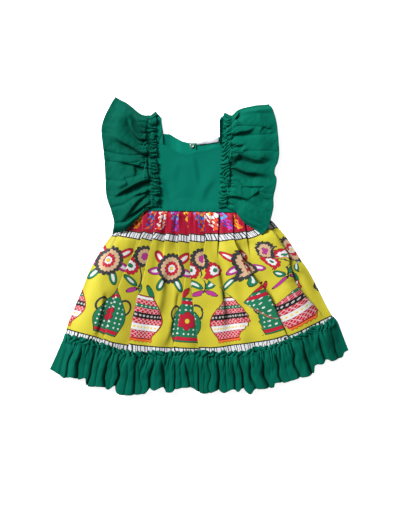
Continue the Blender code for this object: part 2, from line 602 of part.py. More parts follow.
def build():
    for old in list(bpy.data.objects):
        bpy.data.objects.remove(old)
    green = plain_material("green_poplin", GREEN_COTTON, 0.75)
    dark_green = plain_material("green_flounce", GREEN_FLOUNCE, 0.75)
    print_cloth = plain_material("printed_cotton", PRINTED_COTTON, 0.8)
    label_cloth = plain_material("white_label", WHITE_LABEL, 0.6)
    stud = plain_material("pearl_stud", PEARL_STUD, 0.3, 0.3)

    cloth("bodice_front", BODICE_COLUMNS, BODICE_ROWS, bodice_front_point, green)
    cloth("bodice_back_left", BACK_COLUMNS, BACK_PANEL_ROWS,
          back_panel(None, BACK_LEFT_EDGE, left_back_lap, BACK_COLUMNS, BACK_PANEL_ROWS), green)
    cloth("bodice_back_right", BACK_COLUMNS, BACK_PANEL_ROWS,
          back_panel(BACK_RIGHT_EDGE, None, lambda x: 0.0, BACK_COLUMNS, BACK_PANEL_ROWS), green)
    cloth("strap_left", STRAP_COLUMNS, STRAP_ROWS,
          strap_point(STRAP_LEFT_INNER, STRAP_LEFT_OUTER, FRONT_NECK[0][1], BACK_NECK[0][1],
                      STRAP_TAPER), green)
    cloth("strap_right", STRAP_COLUMNS, STRAP_ROWS,
          strap_point(STRAP_RIGHT_OUTER, STRAP_RIGHT_INNER, FRONT_NECK[-1][1], BACK_NECK[-1][1],
                      0.0), green)
    cloth("flutter_left", FLUTTER_COLUMNS, len(FLUTTER_ROWS) - 1,
          flutter_point(FLUTTER_LEFT, TROUGHS_LEFT), green)
    cloth("flutter_right", FLUTTER_COLUMNS, len(FLUTTER_ROWS) - 1,
          flutter_point(FLUTTER_RIGHT, TROUGHS_RIGHT), green, mirrored=True)
    cloth("skirt_front", SKIRT_FRONT_COLUMNS, len(FRONT_ROWS) - 1, skirt_front_point, print_cloth)
    cloth("skirt_back", SKIRT_BACK_COLUMNS, len(BACK_ROWS) - 1, skirt_back_point, print_cloth)
    cloth("hem_ruffle_front", FLOUNCE_WAVES_FRONT * WAVE_COLUMNS, len(FLOUNCE_ROWS_FRONT) - 1,
          flounce_front_point, dark_green)
    cloth("hem_ruffle_back", FLOUNCE_WAVES_BACK * WAVE_COLUMNS, len(FLOUNCE_ROWS_BACK) - 1,
          flounce_back_point, dark_green)
    cloth("neck_label", LABEL_COLUMNS, LABEL_ROWS, label_point, label_cloth, LABEL_WALL)
    make_snap(stud)


build()
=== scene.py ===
"""Looks of a small girl's flutter-sleeve dress, laid flat on its back on a pale table.

Sizes in the tables below are millimetres in the dress's own frame: the middle of the laid-out
dress is at X = 0, Y = 0, the hem is towards -Y and the surface that it lies on is Z = 0.
"""
from collections import namedtuple
import math

import bmesh
import bpy
import numpy as np
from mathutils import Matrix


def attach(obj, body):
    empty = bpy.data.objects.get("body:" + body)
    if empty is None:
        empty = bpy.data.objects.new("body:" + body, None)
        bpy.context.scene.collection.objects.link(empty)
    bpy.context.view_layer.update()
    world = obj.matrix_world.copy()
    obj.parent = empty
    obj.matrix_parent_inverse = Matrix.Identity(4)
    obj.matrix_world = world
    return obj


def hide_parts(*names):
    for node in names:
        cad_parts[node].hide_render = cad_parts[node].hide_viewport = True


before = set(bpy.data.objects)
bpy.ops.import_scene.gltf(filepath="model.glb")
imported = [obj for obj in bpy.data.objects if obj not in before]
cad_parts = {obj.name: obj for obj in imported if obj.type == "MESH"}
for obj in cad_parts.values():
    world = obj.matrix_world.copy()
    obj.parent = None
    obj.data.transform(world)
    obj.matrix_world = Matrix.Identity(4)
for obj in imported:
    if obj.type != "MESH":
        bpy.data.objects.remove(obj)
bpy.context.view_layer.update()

bl_info = {
    "name": "Flutter-sleeve dress",
    "version": (1, 0, 0),
    "blender": (4, 5, 0),
    "location": "3D Viewport > Sidebar > Dress",
    "description": "Builds a child's cotton dress with gathered ruffles, laid flat",
    "category": "Object",
}

MILLIMETRE = 0.001
CAD_WALL = 1.5

# Heights of the undersides of the layers, from the surface up
BACK_LIFT = 4.5
BACK_LAP = 1.8
AT_SIDE_SEAM = 1.9
AT_SIDE_SEAM_BY_HEM = 3.7
FRONT_AT_STRAP = 7.2
FRONT_IN_MIDDLE = 5.2
FRONT_AT_WAIST = 8.0
FRONT_AT_WAIST_CORNER = 6.0
SKIRT_FRONT_AT_WAIST = 5.7
SKIRT_FRONT_LEVEL = 5.0
SKIRT_FRONT_AT_HEM = 6.9
SKIRT_BACK_AT_HEM = 4.8
RUFFLE_FRONT_LEVEL = 5.3

# Waist, bodice and straps
WAIST = ((-150.0, 73.7), (-118.0, 74.8), (-60.0, 74.2), (8.0, 73.0), (80.0, 71.0), (128.0, 71.0))
WAIST_LEFT, WAIST_RIGHT = -150.0, 128.0
BACK_SEAM = 75.4
SKIRT_TUCK = 3.4
UNDERARM_LEFT, UNDERARM_RIGHT, UNDERARM_HEIGHT = -143.0, 121.0, 190.0
STRAP_LEFT_OUTER, STRAP_LEFT_INNER = -112.0, -78.0
STRAP_RIGHT_INNER, STRAP_RIGHT_OUTER = 45.0, 76.0
STRAP_TAPER, STRAP_ROLL = 4.0, 5.0
SHOULDER_LEFT = ((-112.0, 276.0), (-102.3, 284.0), (-95.9, 289.5), (-89.5, 284.5), (-84.0, 279.0),
                 (-80.3, 272.5), (-78.0, 262.0))
STRAP_FOLD = ((-89.0, 221.0), (-86.0, 232.0), (-80.0, 246.0))
SHOULDER_RIGHT = ((44.0, 268.0), (46.0, 274.0), (48.0, 278.7), (51.7, 280.5), (56.3, 285.5),
                  (61.8, 284.2), (66.4, 281.4), (76.0, 280.0))
SHOULDER_HEIGHT = 279.0
FRONT_NECK = ((-112.0, 220.0), (-78.0, 220.0), (-63.0, 212.7), (-43.0, 202.6), (-27.0, 200.4),
              (-15.8, 202.6), (-6.6, 207.0), (15.4, 209.4), (45.0, 218.0), (76.0, 218.0))
BACK_NECK = ((-112.0, 244.0), (-78.0, 244.0), (-64.0, 243.8), (-51.7, 236.3), (-35.9, 227.5),
             (-20.2, 224.0), (-6.0, 224.0), (16.0, 229.5), (45.0, 237.0), (76.0, 237.0))
BACK_LEFT_EDGE, BACK_RIGHT_EDGE = -5.5, -32.0
BACK_FLAT_LEFT, BACK_FLAT_RIGHT = -58.0, 14.0
BACK_LIFTED_LEFT, BACK_LIFTED_RIGHT = -83.0, 41.0

# Skirt sides from the waist down, and the gathering line of the flounce
SKIRT_LEFT = ((-150.0, 76.5), (-172.0, 46.0), (-191.0, 22.9), (-215.6, -12.1), (-240.0, -56.1),
              (-257.6, -99.9), (-284.0, -162.8), (-299.5, -211.0))
SKIRT_RIGHT = ((128.0, 74.0), (157.3, 55.0), (171.6, 40.7), (192.5, 15.8), (224.0, -33.0),
               (239.8, -56.0), (259.2, -92.4), (288.9, -150.7), (305.0, -170.5))
HEM_LINE = ((-298.3, -207.7), (-249.9, -217.8), (-218.2, -226.0), (-180.0, -238.0),
            (-138.6, -245.5), (-80.0, -246.0), (0.0, -244.0), (60.0, -245.5), (99.0, -243.3),
            (134.9, -235.3), (170.7, -227.0), (206.8, -213.0), (249.3, -194.6), (283.1, -181.0),
            (303.6, -167.2))
SKIRT_BELOW_HEM_LINE = 3.5
SKIRT_LENGTH = 320.0
SKIRT_CUT_WIDTH = 690.0
# Heights on the skirt's front: crests near the waist, more of it further down, less of it by the
# flounce; gathers under the waist seam; waves and lumps between the pleats
CREST_BY_WAIST, CREST_BELOW, CREST_LOST_BY_HEM = 6.4, 4.0, 4.4
SKIRT_GATHERS, SKIRT_WAVES, SKIRT_LUMPS = 1.2, 2.2, 0.9
# How far the print sags in the middle of the hem, by its left end, and at the right side
SAG_IN_MIDDLE, SAG_AT_LEFT, PRINT_RISE_AT_RIGHT = 3.8, 2.8, 13.0

# Pleats of the skirt's front: the line of each upper edge from the waist down, the cloth that it
# folds away at its start and at its end, its step, the width of the step, how far it takes to come
# level again, and the side that lies lower: -1 to the left of the edge, 1 to the right
FRONT_PLEATS = (
    # line, folded at start, folded at end, step, step width, easy width, lower side
    (((-140, 74), (-170, 30), (-194, -17), (-225, -68)), 24, 0, 3.5, 1.8, 16, -1),
    (((-119, 73), (-124, 11), (-141, -23), (-162, -68), (-183, -125), (-206, -210)),
     24, 26, 9.0, 2.4, 22, -1),
    (((-92, 73), (-97, 14), (-106, -23), (-124, -89), (-138, -145), (-152, -240)),
     28, 46, 10.5, 2.4, 28, -1),
    (((-68, 73), (-71, 15), (-79, -37)), 26, 0, 7.0, 1.8, 10, -1),
    (((-42, 73), (-42, 11), (-44, -66)), 24, 0, 6.5, 1.8, 10, -1),
    (((-22, 73), (-17, 10), (-15, -61), (-9, -131), (5, -235)), 30, 20, 9.5, 2.4, 20, -1),
    (((-25, -44), (-36, -149), (-54, -235)), 0, 14, 4.0, 3.0, 14, -1),
    (((14, 73), (17, 15), (13, -13), (11, -66)), 26, 0, 7.5, 1.8, 10, -1),
    (((39, 72), (37, 11), (40, -37)), 24, 0, 4.6, 3.0, 10, 1),
    (((68, 72), (71, 0), (84, -32), (98, -62), (125, -99)), 26, 0, 4.8, 4.0, 13, 1),
    (((92, 72), (100, 15), (114, -37)), 24, 0, 4.4, 3.0, 11, 1),
    (((110, 72), (154, 18), (176, -9), (200, -79), (222, -121), (262, -152)), 24, 4, 6.0, 6.0, 22, 1),
    (((106, -62), (158, -150), (188, -215)), 0, 8, 3.6, 7.0, 18, 1),
    (((198, -48), (222, -57), (244, -60)), 0, 0, 2.4, 3.0, 9, -1),
)
# Broad soft folds of the skirt's front between the pleats
SKIRT_FOLDS = (
    # line, step, step width, easy width, lower side
    (((66, 26), (82, -20), (104, -62), (124, -94), (168, -172)), 10.0, 15.0, 42, 1),
    (((140, 34), (152, 20), (176, -18), (202, -50)), 9.0, 11.0, 28, 1),
    (((176, -84), (200, -112), (228, -142), (262, -160)), 10.0, 24.0, 42, 1),
    (((-214, -96), (-222, -150), (-236, -208)), 4.5, 14.0, 22, 1),
    (((-88, -52), (-96, -120), (-110, -180)), 5.0, 22.0, 26, 1),
    (((26, -30), (40, -110), (50, -200)), 5.5, 20.0, 30, 1),
    (((-56, -80), (-68, -160), (-84, -232)), 4.0, 18.0, 24, 1),
    (((214, -44), (238, -80), (254, -120)), 4.5, 12.0, 22, 1),
)
BACK_PLEATS = (
    # line, folded at start, folded at end, step, step width, easy width, lower side
    (((-125, 73), (-160, -20), (-190, -120)), 40, 0, 2.2, 2.5, 16, -1),
    (((-95, 73), (-120, -80), (-140, -240)), 44, 14, 2.4, 2.5, 18, -1),
    (((-60, 73), (-70, -40), (-80, -120)), 40, 0, 2.2, 2.5, 16, -1),
    (((-25, 73), (-20, -80), (-15, -240)), 44, 16, 2.4, 2.5, 18, 1),
    (((10, 73), (12, -40), (16, -110)), 40, 0, 2.2, 2.5, 16, 1),
    (((45, 73), (60, -80), (80, -240)), 44, 16, 2.4, 2.5, 18, 1),
    (((75, 72), (100, -30), (120, -100)), 40, 0, 2.2, 2.5, 16, 1),
    (((105, 72), (150, -60), (200, -200)), 40, 14, 2.4, 2.5, 18, 1),
)

# How dark the painted shade gets beside a pleat whose lower side is the left one or the right one, and
# how far pleats and soft folds lean over, as shares of their step's width
SHADE_AT_LEFT, SHADE_AT_RIGHT = 0.62, 0.42
PLEAT_OVERHANG, FOLD_OVERHANG = 1.5, 0.35

# Soft folds of the bodice, in the same way
BODICE_FOLDS = (
    # line, step, step width, easy width, lower side
    (((-18, 202), (-10, 160), (-4, 118)), 1.9, 12.0, 18, 1),
    (((36, 152), (12, 122), (3, 92)), 1.8, 13.0, 18, 1),
    (((-86, 152), (-76, 106), (-62, 86)), 1.9, 13.0, 18, 1),
    (((-58, 90), (-30, 96), (2, 88)), 0.9, 8.0, 12, 1),
    (((-46, 190), (-58, 150), (-52, 110)), 1.2, 16.0, 22, 1),
)

# Flounce: its bottom edge, heading, depth, length along the seam and as cut, the share of its grid
# that its heading takes in front and at the back, and how far the back's edges lie further in
FLOUNCE_EDGE = ((-327.8, -272.8), (-305.8, -284.9), (-294.8, -291.5), (-279.4, -287.1),
                (-261.8, -293.7), (-248.6, -291.5), (-245.5, -307.0), (-211.2, -309.1),
                (-198.0, -315.7), (-185.2, -308.0), (-180.0, -321.0), (-167.2, -326.5),
                (-119.0, -324.5), (-108.0, -314.2), (-96.8, -315.7), (-79.2, -309.8),
                (-71.5, -321.5), (-60.0, -321.5), (-49.0, -314.0), (-17.6, -311.3),
                (0.0, -321.2), (15.4, -324.5), (41.8, -317.2), (55.0, -322.3), (73.7, -315.0),
                (85.8, -320.1), (94.6, -313.1), (112.2, -324.3), (122.1, -314.6),
                (162.8, -310.6), (167.2, -301.0), (187.0, -299.6), (222.2, -288.9),
                (249.9, -280.3), (254.1, -262.2), (270.6, -259.2), (280.5, -249.0),
                (290.4, -252.6), (314.6, -245.1), (319.0, -236.3), (328.5, -231.0))
FLOUNCE_HEADING = 14.0
FLOUNCE_DEPTH = 80.0
FLOUNCE_SEAM = 640.0
FLOUNCE_CUT_WIDTH = 1150.0
FLOUNCE_HEADING_SHARE, FLOUNCE_BACK_HEADING_SHARE = 0.24, 0.20
FLOUNCE_WAVES_BACK = 30
# Heights on the flounce: at its stitching, of its flutes, gathers and curls, and its highest; and how
# ragged the edge of its heading is
STITCHED_HEIGHT, FLUTE_HEIGHT, FLOUNCE_GATHERS, FLOUNCE_CURLS, FLOUNCE_HIGHEST = 3.4, 11.0, 5.0, 7.0, 13.0
FLOUNCE_RAGGED, FLOUNCE_WANDER = 9.0, 6.0
BACK_INSET = 3.0

# Valleys between the flounce's flutes: X at the stitching and at the edge, and depth (1 is full)
FLOUNCE_VALLEYS = (
    # at stitching, at edge, depth
    (-318, -346, 1.0), (-295, -322, 0.5), (-286, -308, 0.8), (-274, -293, 1.0), (-254, -267, 0.9),
    (-240, -256, 0.4), (-222, -246, 1.0), (-207, -228, 0.5), (-193, -207, 0.9), (-181, -196, 0.4),
    (-166, -182, 1.0), (-150, -161, 0.5), (-137, -141, 0.8), (-123, -128, 0.5), (-96, -111, 1.0),
    (-82, -74, 0.9), (-67, -64, 0.4), (-53, -52, 0.9), (-41, -34, 0.5), (-30, -16, 0.8),
    (-15, -7, 0.4), (0, 1, 1.0), (12, 13, 0.4), (24, 24, 0.7), (44, 46, 1.0), (60, 63, 0.5),
    (75, 79, 0.8), (90, 96, 1.0), (107, 122, 0.8), (132, 152, 1.0), (146, 166, 0.35),
    (163, 183, 0.9), (180, 201, 0.4), (200, 221, 0.9), (226, 249, 1.0), (244, 264, 0.4),
    (260, 280, 0.9), (286, 310, 1.0), (302, 326, 0.35), (322, 346, 1.0),
)

# Flutter ruffles: the gathering line from the shoulder to the waist, the outer edge, the top edge
# where the ruffle folds over, and the lower edges of its front half and of its back half
FLUTTER_LEFT = {
    "gather": ((-108.0, 280.5), (-110.7, 264.0), (-107.8, 204.6), (-104.9, 154.0),
               (-101.9, 114.4), (-99.9, 83.6)),
    "top": ((-108.0, 280.5), (-125.4, 283.0), (-156.2, 306.0), (-184.0, 323.5)),
    "outer": ((-184.0, 323.5), (-200.2, 292.6), (-211.2, 266.2), (-213.4, 250.0),
              (-211.2, 226.6), (-206.8, 187.0), (-204.6, 147.4), (-202.4, 107.8),
              (-193.6, 81.4), (-186.0, 55.0), (-185.5, 41.8), (-190.0, 23.3)),
    "lower": ((-99.9, 83.6), (-117.7, 73.9), (-137.0, 54.6), (-158.8, 33.4), (-180.4, 26.4),
              (-190.0, 23.3)),
    "lower_back": ((-102.0, 114.0), (-140.0, 111.0), (-202.0, 108.0)),
    "heading": 15.0,
    "loop": 9.0,
}
FLUTTER_RIGHT = {
    "gather": ((72.6, 280.5), (71.7, 264.0), (66.0, 191.4), (62.5, 136.4), (58.3, 83.0)),
    "top": ((72.6, 280.5), (87.1, 293.5), (118.8, 301.5), (153.8, 307.5)),
    "outer": ((153.8, 307.5), (161.3, 297.0), (170.3, 264.0), (174.7, 218.7), (175.6, 200.2),
              (172.3, 180.4), (166.5, 167.2), (165.5, 155.0), (169.5, 146.0), (168.5, 129.8),
              (162.8, 103.4), (162.8, 83.6), (158.2, 61.6), (150.7, 37.4), (137.5, 21.6)),
    "lower": ((58.3, 83.0), (80.7, 71.3), (90.9, 57.2), (102.7, 46.2), (122.1, 34.3),
              (137.5, 21.6)),
    "lower_back": ((60.5, 112.0), (100.0, 110.0), (163.0, 108.0)),
    "heading": -17.0,
    "loop": 6.0,
}
FLUTTER_BASE, FLUTTER_BASE_LOW, FLUTTER_BASE_AT_WAIST = 9.1, 5.5, 10.5
FLUTTER_BODY = 8.0
FLUTTER_SEAM, FLUTTER_WIDTH, FLUTTER_CUT_WIDTH = 200.0, 95.0, 900.0
FLUTTER_HEADING_SHARE = 0.16
FLUTTER_FOLD = 0.27, 0.30
BACK_GATHER_SHARE, BACK_OUTER_SHARE = 0.845, 0.70
PUCKERS_BACK = 12
# Heights on a flutter: of its gathers, broad swells and curls, and its highest; how much its creases
# count; and how ragged the edge of its heading is
FLUTTER_GATHERS, FLUTTER_SWELLS, FLUTTER_CURLS, FLUTTER_HIGHEST = 4.2, 3.4, 5.6, 15.0
CREASE_STRENGTH = 1.6
FLUTTER_RAGGED, FLUTTER_WANDER = 7.0, 4.0

# Creases of each flutter from the gathering line out: the line of each crest, the drop below it, the
# drop's width and how far the cloth takes to rise again
CREASES_LEFT = (
    # line, drop, drop width, easy width
    (((-113, 249), (-121, 256), (-130, 272), (-141, 293)), 8.0, 4.5, 10),
    (((-113, 236), (-130, 242), (-139, 252), (-146, 270), (-150, 286)), 8.0, 6.0, 12),
    (((-113, 234), (-132, 238), (-138, 242)), 4.0, 2.4, 5),
    (((-113, 221), (-125, 226), (-137, 233)), 3.2, 2.0, 6),
    (((-112, 208), (-118, 206), (-140, 219), (-167, 233), (-196, 251)), 8.5, 8.0, 22),
    (((-114, 184), (-129, 187)), 4.0, 2.6, 6),
    (((-118, 174), (-126, 175), (-153, 182), (-184, 184)), 6.0, 4.0, 13),
    (((-150, 174), (-147, 152), (-144, 141)), 2.6, 8.0, 12),
    (((-160, 142), (-185, 124)), 3.0, 7.0, 12),
    (((-107, 147), (-127, 141), (-153, 128), (-170, 118), (-194, 101)), 8.0, 3.6, 24),
    (((-102, 122), (-114, 122), (-133, 116), (-152, 105)), 5.5, 3.4, 11),
    (((-112, 118), (-138, 98), (-161, 69), (-180, 48)), 5.0, 5.0, 16),
    (((-107, 99), (-131, 82), (-154, 66), (-177, 46)), 4.0, 3.0, 10),
    (((-104, 84), (-120, 86)), 4.0, 2.4, 5),
)
CREASES_RIGHT = (
    # line, drop, drop width, easy width
    (((75, 276), (82, 286), (86, 298)), 5.0, 3.0, 8),
    (((71, 247), (74, 246), (90, 250), (107, 252), (126, 261)), 5.0, 4.0, 16),
    (((71, 229), (78, 225), (98, 225), (106, 220)), 4.6, 3.0, 8),
    (((70, 212), (98, 215), (117, 219)), 3.0, 6.0, 10),
    (((143, 264), (162, 254)), 2.4, 5.0, 9),
    (((67, 200), (76, 199), (89, 205), (108, 200), (127, 193), (145, 194), (162, 197)), 8.0, 9.0, 17),
    (((68, 190), (74, 186), (84, 178)), 5.0, 2.6, 7),
    (((66, 176), (78, 176), (94, 170), (107, 165), (124, 164), (143, 159), (166, 156)), 9.5, 8.5, 20),
    (((64, 147), (72, 142), (81, 136)), 4.6, 2.8, 7),
    (((65, 136), (74, 133), (84, 122)), 4.6, 3.4, 7),
    (((92, 130), (130, 130), (168, 130)), 1.6, 1.8, 8),
    (((139, 124), (149, 111), (163, 99)), 5.0, 9.0, 14),
    (((60, 117), (67, 112), (85, 109), (117, 99)), 6.0, 4.0, 14),
    (((60, 104), (70, 96), (81, 87)), 4.6, 2.8, 9),
    (((84, 70), (110, 48), (134, 32)), 1.6, 3.0, 10),
)

# Small hard and woven pieces
SNAP_PLACE, SNAP_RADIUS, SNAP_HEIGHT, SNAP_SIDES = (-15.2, 218.0), 5.2, 1.4, 32
SNAP_PROFILE = ((0.0, 0.35), (0.42, 0.35), (0.50, 0.55), (0.60, 0.92), (0.74, 1.0), (0.90, 0.88),
                (1.0, 0.5), (0.98, 0.0))
SNAP_GREY = (0.15, 0.22, 0.17)
SNAP_LIFT = 0.4
LABEL_WHITE, LABEL_THICKNESS = (0.40, 0.41, 0.45), 0.4
LABEL_LEFT, LABEL_RIGHT = -4.5, 43.0
LABEL_NECK_DROP, LABEL_HEIGHT_LEFT, LABEL_HEIGHT_RIGHT = 0.6, 3.5, 10.5

# Print: depths below the waist seam, then how far apart its sprays and motifs are and how far they are
# shifted across the cloth
BAND_END, LADDER_END, LOWER_LADDER = 50.0, 68.0, 294.0
LOWER_LADDER_WIDTH = 30.0
SPRAY_PITCH, SPRAY_SHIFT = 59.0, 4.0
MOTIF_PITCH = 108.0
PRINT_SHIFT = 20.0

# Print: colours
BLACK = (0.010, 0.009, 0.010)
LADDER_WHITE = (0.62, 0.63, 0.66)
CHARCOAL = (0.030, 0.032, 0.036)
TAN = (0.50, 0.33, 0.20)
MAGENTA = (0.36, 0.03, 0.22)
PRINT_RED = (0.42, 0.010, 0.030)
PRINT_GREEN = (0.01, 0.15, 0.07)
PRINT_WHITE = (0.62, 0.62, 0.62)
ORANGE = (0.72, 0.12, 0.02)
GOLD = (0.66, 0.46, 0.04)
LATTICE_PINK = (0.60, 0.34, 0.36)
SPOT_GREY = (0.42, 0.40, 0.38)
SPRAY_COLOURS = (
    # shaded petals, bright petals, a few others
    ((0.01, 0.05, 0.34), (0.10, 0.36, 0.75), (0.42, 0.04, 0.40)),
    ((0.80, 0.20, 0.01), (0.82, 0.55, 0.04), (0.85, 0.34, 0.02)),
    ((0.01, 0.07, 0.32), (0.04, 0.20, 0.60), (0.75, 0.12, 0.01)),
    ((0.62, 0.60, 0.58), (0.74, 0.72, 0.70), (0.78, 0.10, 0.03)),
)

# Threads, length of a stitch, distance of each row of stitches from its edge (the print has none, so
# its row lies off the cloth), the painted shade of the flutters (the left one gets a darker copy of
# the same green) and the shade of the facing inside the neck
BODICE_THREAD, FLUTTER_THREAD = (0.002, 0.10, 0.07), (0.002, 0.08, 0.05)
FLOUNCE_THREAD, PRINT_THREAD = (0.002, 0.06, 0.035), (0.3, 0.3, 0.05)
STITCH_LENGTH = 2.6
HEM_STITCHES, FLUTTER_STITCHES, NO_STITCHES = 6.0, 5.0, -20.0
LEFT_SHADE, RIGHT_SHADE, FACING_SHADE = 0.74, 1.0, 1.2

# Columns and rows of the grid of each piece
GRIDS = {
    "front": (150, 90), "back": (70, 60), "shoulder": (24, 90), "ruffle": (420, 110),
    "printed_front": (420, 110), "printed_back": (260, 80), "flounce_front": (720, 64),
    "flounce_back": (300, 30), "blank_label": (40, 10),
}

# Table and lights: each light's place and size in metres and its power in watts
TABLE_COLOUR, TABLE_GLOW, ROOM_LIGHT = (0.92, 0.92, 0.92, 1.0), 0.8, 0.18
WHITE = (1.0, 1.0, 1.0, 1.0)
LIGHTS = (
    # name, place, size, power
    ("window", (-3.0, 2.5, 2.75), 1.7, 500.0),
    ("fill", (1.3, -0.4, 1.7), 1.6, 3.0),
)

# Photograph's frame: its size in pixels, the pixel at the dress's middle, and its scale
PHOTO_WIDTH, PHOTO_HEIGHT = 416, 520
PHOTO_MIDDLE_X, PHOTO_MIDDLE_Y = 199.0, 245.0
PHOTO_SCALE = 2.2
CAMERA_HEIGHT = 1600.0


def length_property(name, description, default):
    return bpy.props.FloatProperty(
        name=name, description=description, default=default, min=0.0002, max=0.002, unit="LENGTH")


def colour_property(name, description, default):
    return bpy.props.FloatVectorProperty(
        name=name, description=description, default=default, subtype="COLOR", size=3, min=0.0, max=1.0)


class DressSizes(bpy.types.PropertyGroup):
    cloth_thickness: length_property("Cloth thickness", "Thickness of the cotton", 0.0006)
    weave_pitch: length_property("Weave pitch", "Distance from thread to thread", 0.0005)


class DressColours(bpy.types.PropertyGroup):
    bodice: colour_property("Bodice", "Green of the bodice", (0.0005, 0.121, 0.083))
    flutter: colour_property("Flutters", "Green of the shoulder ruffles", (0.0005, 0.108, 0.069))
    flounce: colour_property("Flounce", "Green of the hem flounce", (0.0005, 0.098, 0.062))
    yellow: colour_property("Print ground", "Yellow ground of the print", (0.475, 0.420, 0.028))
    red: colour_property("Print band", "Red band of the print", (0.335, 0.0035, 0.026))


def mix(a, b, t):
    return a + (b - a) * t


def smooth(t):
    t = np.clip(t, 0.0, 1.0)
    return t * t * (3.0 - 2.0 * t)


def curve_at(points, t):
    """Points at the shares t of the length of a smooth curve through the points."""
    points = np.array(points, dtype=float)
    lengths = np.linalg.norm(np.diff(points, axis=0), axis=1)
    reach = np.concatenate(([0.0], np.cumsum(lengths)))
    before = np.maximum(np.arange(len(points)) - 1, 0)
    after = np.minimum(before + 2, len(points) - 1)
    after[0] = 1
    tangents = (points[after] - points[before]) / (reach[after] - reach[before])[:, None]
    place = np.clip(np.asarray(t, dtype=float), 0.0, 1.0) * reach[-1]
    i = np.clip(np.searchsorted(reach, place, side="left") - 1, 0, len(points) - 2)
    length = lengths[i][..., None]
    share = (place - reach[i])[..., None] / length
    leaving = tangents[i] * share * (1.0 - share) ** 2
    arriving = tangents[i + 1] * share ** 2 * (1.0 - share)
    return mix(points[i], points[i + 1], smooth(share)) + (leaving - arriving) * length


def height_on(points, x):
    """The Y of an outline at x, in straight steps between its points."""
    return np.interp(x, [p[0] for p in points], [p[1] for p in points])


def patch_at(top, bottom, left, right, u, v):
    """Points inside four edges that meet at their corners, u across and v down."""
    wide, deep = u[..., None], v[..., None]
    across = mix(top(u), bottom(u), deep)
    down = mix(left(v), right(v), wide)
    none, full = np.zeros_like(u), np.ones_like(u)
    upper = mix(top(none), top(full), wide)
    lower = mix(bottom(none), bottom(full), wide)
    return across + down - mix(upper, lower, deep)


def flute(phase):
    """Height of one gather or wave, 0 in its narrow valley and 1 over its broad crest."""
    return 1.0 - (1.0 - np.abs(np.sin(math.pi * phase))) ** 2


def uneven(share, sway):
    """Spread even shares unevenly between 0 and 1, so that no two waves are alike."""
    return (share + sway * np.sin(2.0 * math.pi * (3.0 * share)) / 9.0
            + sway * np.sin(2.0 * math.pi * 7.0 * share) / 21.0)


def at_side(u):
    """0 at the side seams and 1 away from them."""
    return smooth(np.minimum(u, 1.0 - u) / 0.08)


def rumple(x, y, size, start):
    """Soft unevenness from -1 to 1 with lumps of about this size in millimetres."""
    a, b = x / size, y / size
    return (np.sin(1.7 * a + 1.1 * b + start) * np.sin(0.9 * a - 1.6 * b + 2.0 * start)
            + 0.5 * np.sin(3.1 * a - 0.7 * b + 3.0 * start) * np.sin(1.3 * a + 2.9 * b + start)) / 1.5


def noise(a, b, seed):
    """Smooth random height from -1 to 1, with lumps one unit wide."""
    cells = np.random.default_rng(seed).uniform(-1.0, 1.0, (97, 97))
    i, j = np.floor(a).astype(int), np.floor(b).astype(int)
    s, t = smooth(a - i), smooth(b - j)
    i, j, k, m = i % 97, j % 97, (i + 1) % 97, (j + 1) % 97
    return mix(mix(cells[i, j], cells[k, j], s), mix(cells[i, m], cells[k, m], s), t)


def crumpled(across, along, size, stretch, seed):
    """Irregular gathers from 0 in their narrow valleys to about 1, long in the along direction."""
    a, b = across / size, along / (size * stretch)
    wander = a + 0.5 * noise(0.4 * a, 0.7 * b, seed + 1)
    return np.clip(1.5 * np.abs(noise(wander, 0.5 * b, seed)), 0.0, 1.0) ** 0.55


def curled(along, back, pitch, seed):
    """Curls of a heading from 0 in their gaps to 1, uneven and leaning to and fro."""
    phase = along / pitch + 0.9 * noise(along / (2.0 * pitch), back, seed)
    phase = phase + 0.5 * back * noise(along / (0.8 * pitch), 2.0 * back, seed + 2)
    size = 0.85 + 0.3 * noise(along / (0.7 * pitch), 0.5 * back, seed + 4)
    return size * np.abs(np.sin(math.pi * phase)) ** 0.75


def widest(values, columns):
    """The greatest value within some columns to each side."""
    shifts = [np.roll(values, k, axis=0) for k in range(-columns, columns + 1, 2)]
    return np.maximum.reduce(shifts)


def beside(x, y, line):
    """Distance to one side of a smooth line (minus on the other) and the share of its length."""
    samples = 12 * (len(line) - 1)
    path = curve_at(line, np.linspace(0.0, 1.0, samples + 1))
    ahead = np.gradient(path, axis=0)
    ahead = ahead / np.linalg.norm(ahead, axis=1, keepdims=True)
    away_x = x[..., None] - path[:, 0]
    away_y = y[..., None] - path[:, 1]
    nearest = np.argmin(away_x ** 2 + away_y ** 2, axis=-1)
    near_x = np.take_along_axis(away_x, nearest[..., None], -1)[..., 0]
    near_y = np.take_along_axis(away_y, nearest[..., None], -1)[..., 0]
    tangent = ahead[nearest]
    side = tangent[..., 0] * near_y - tangent[..., 1] * near_x
    along = tangent[..., 0] * near_x + tangent[..., 1] * near_y
    spacing = np.linalg.norm(np.diff(path, axis=0), axis=1).mean()
    share = (nearest + along / spacing) / samples
    past_end = np.maximum(-share, share - 1.0) * samples * spacing
    return side, np.clip(share, 0.0, 1.0), np.maximum(past_end, 0.0), tangent


def fold_profile(side, step_width, easy_width):
    """A crest at 0 that drops on the plus side to a valley, with both levelling out slowly."""
    crest, valley = 0.35, -0.65
    behind = crest * np.exp(np.minimum(side, 0.0) / (0.7 * easy_width))
    drop = mix(crest, valley, smooth(side / step_width))
    beyond = valley * np.exp(-(np.maximum(side - step_width, 0.0) / easy_width) ** 1.4)
    return np.where(side < 0.0, behind, np.where(side < step_width, drop, beyond))


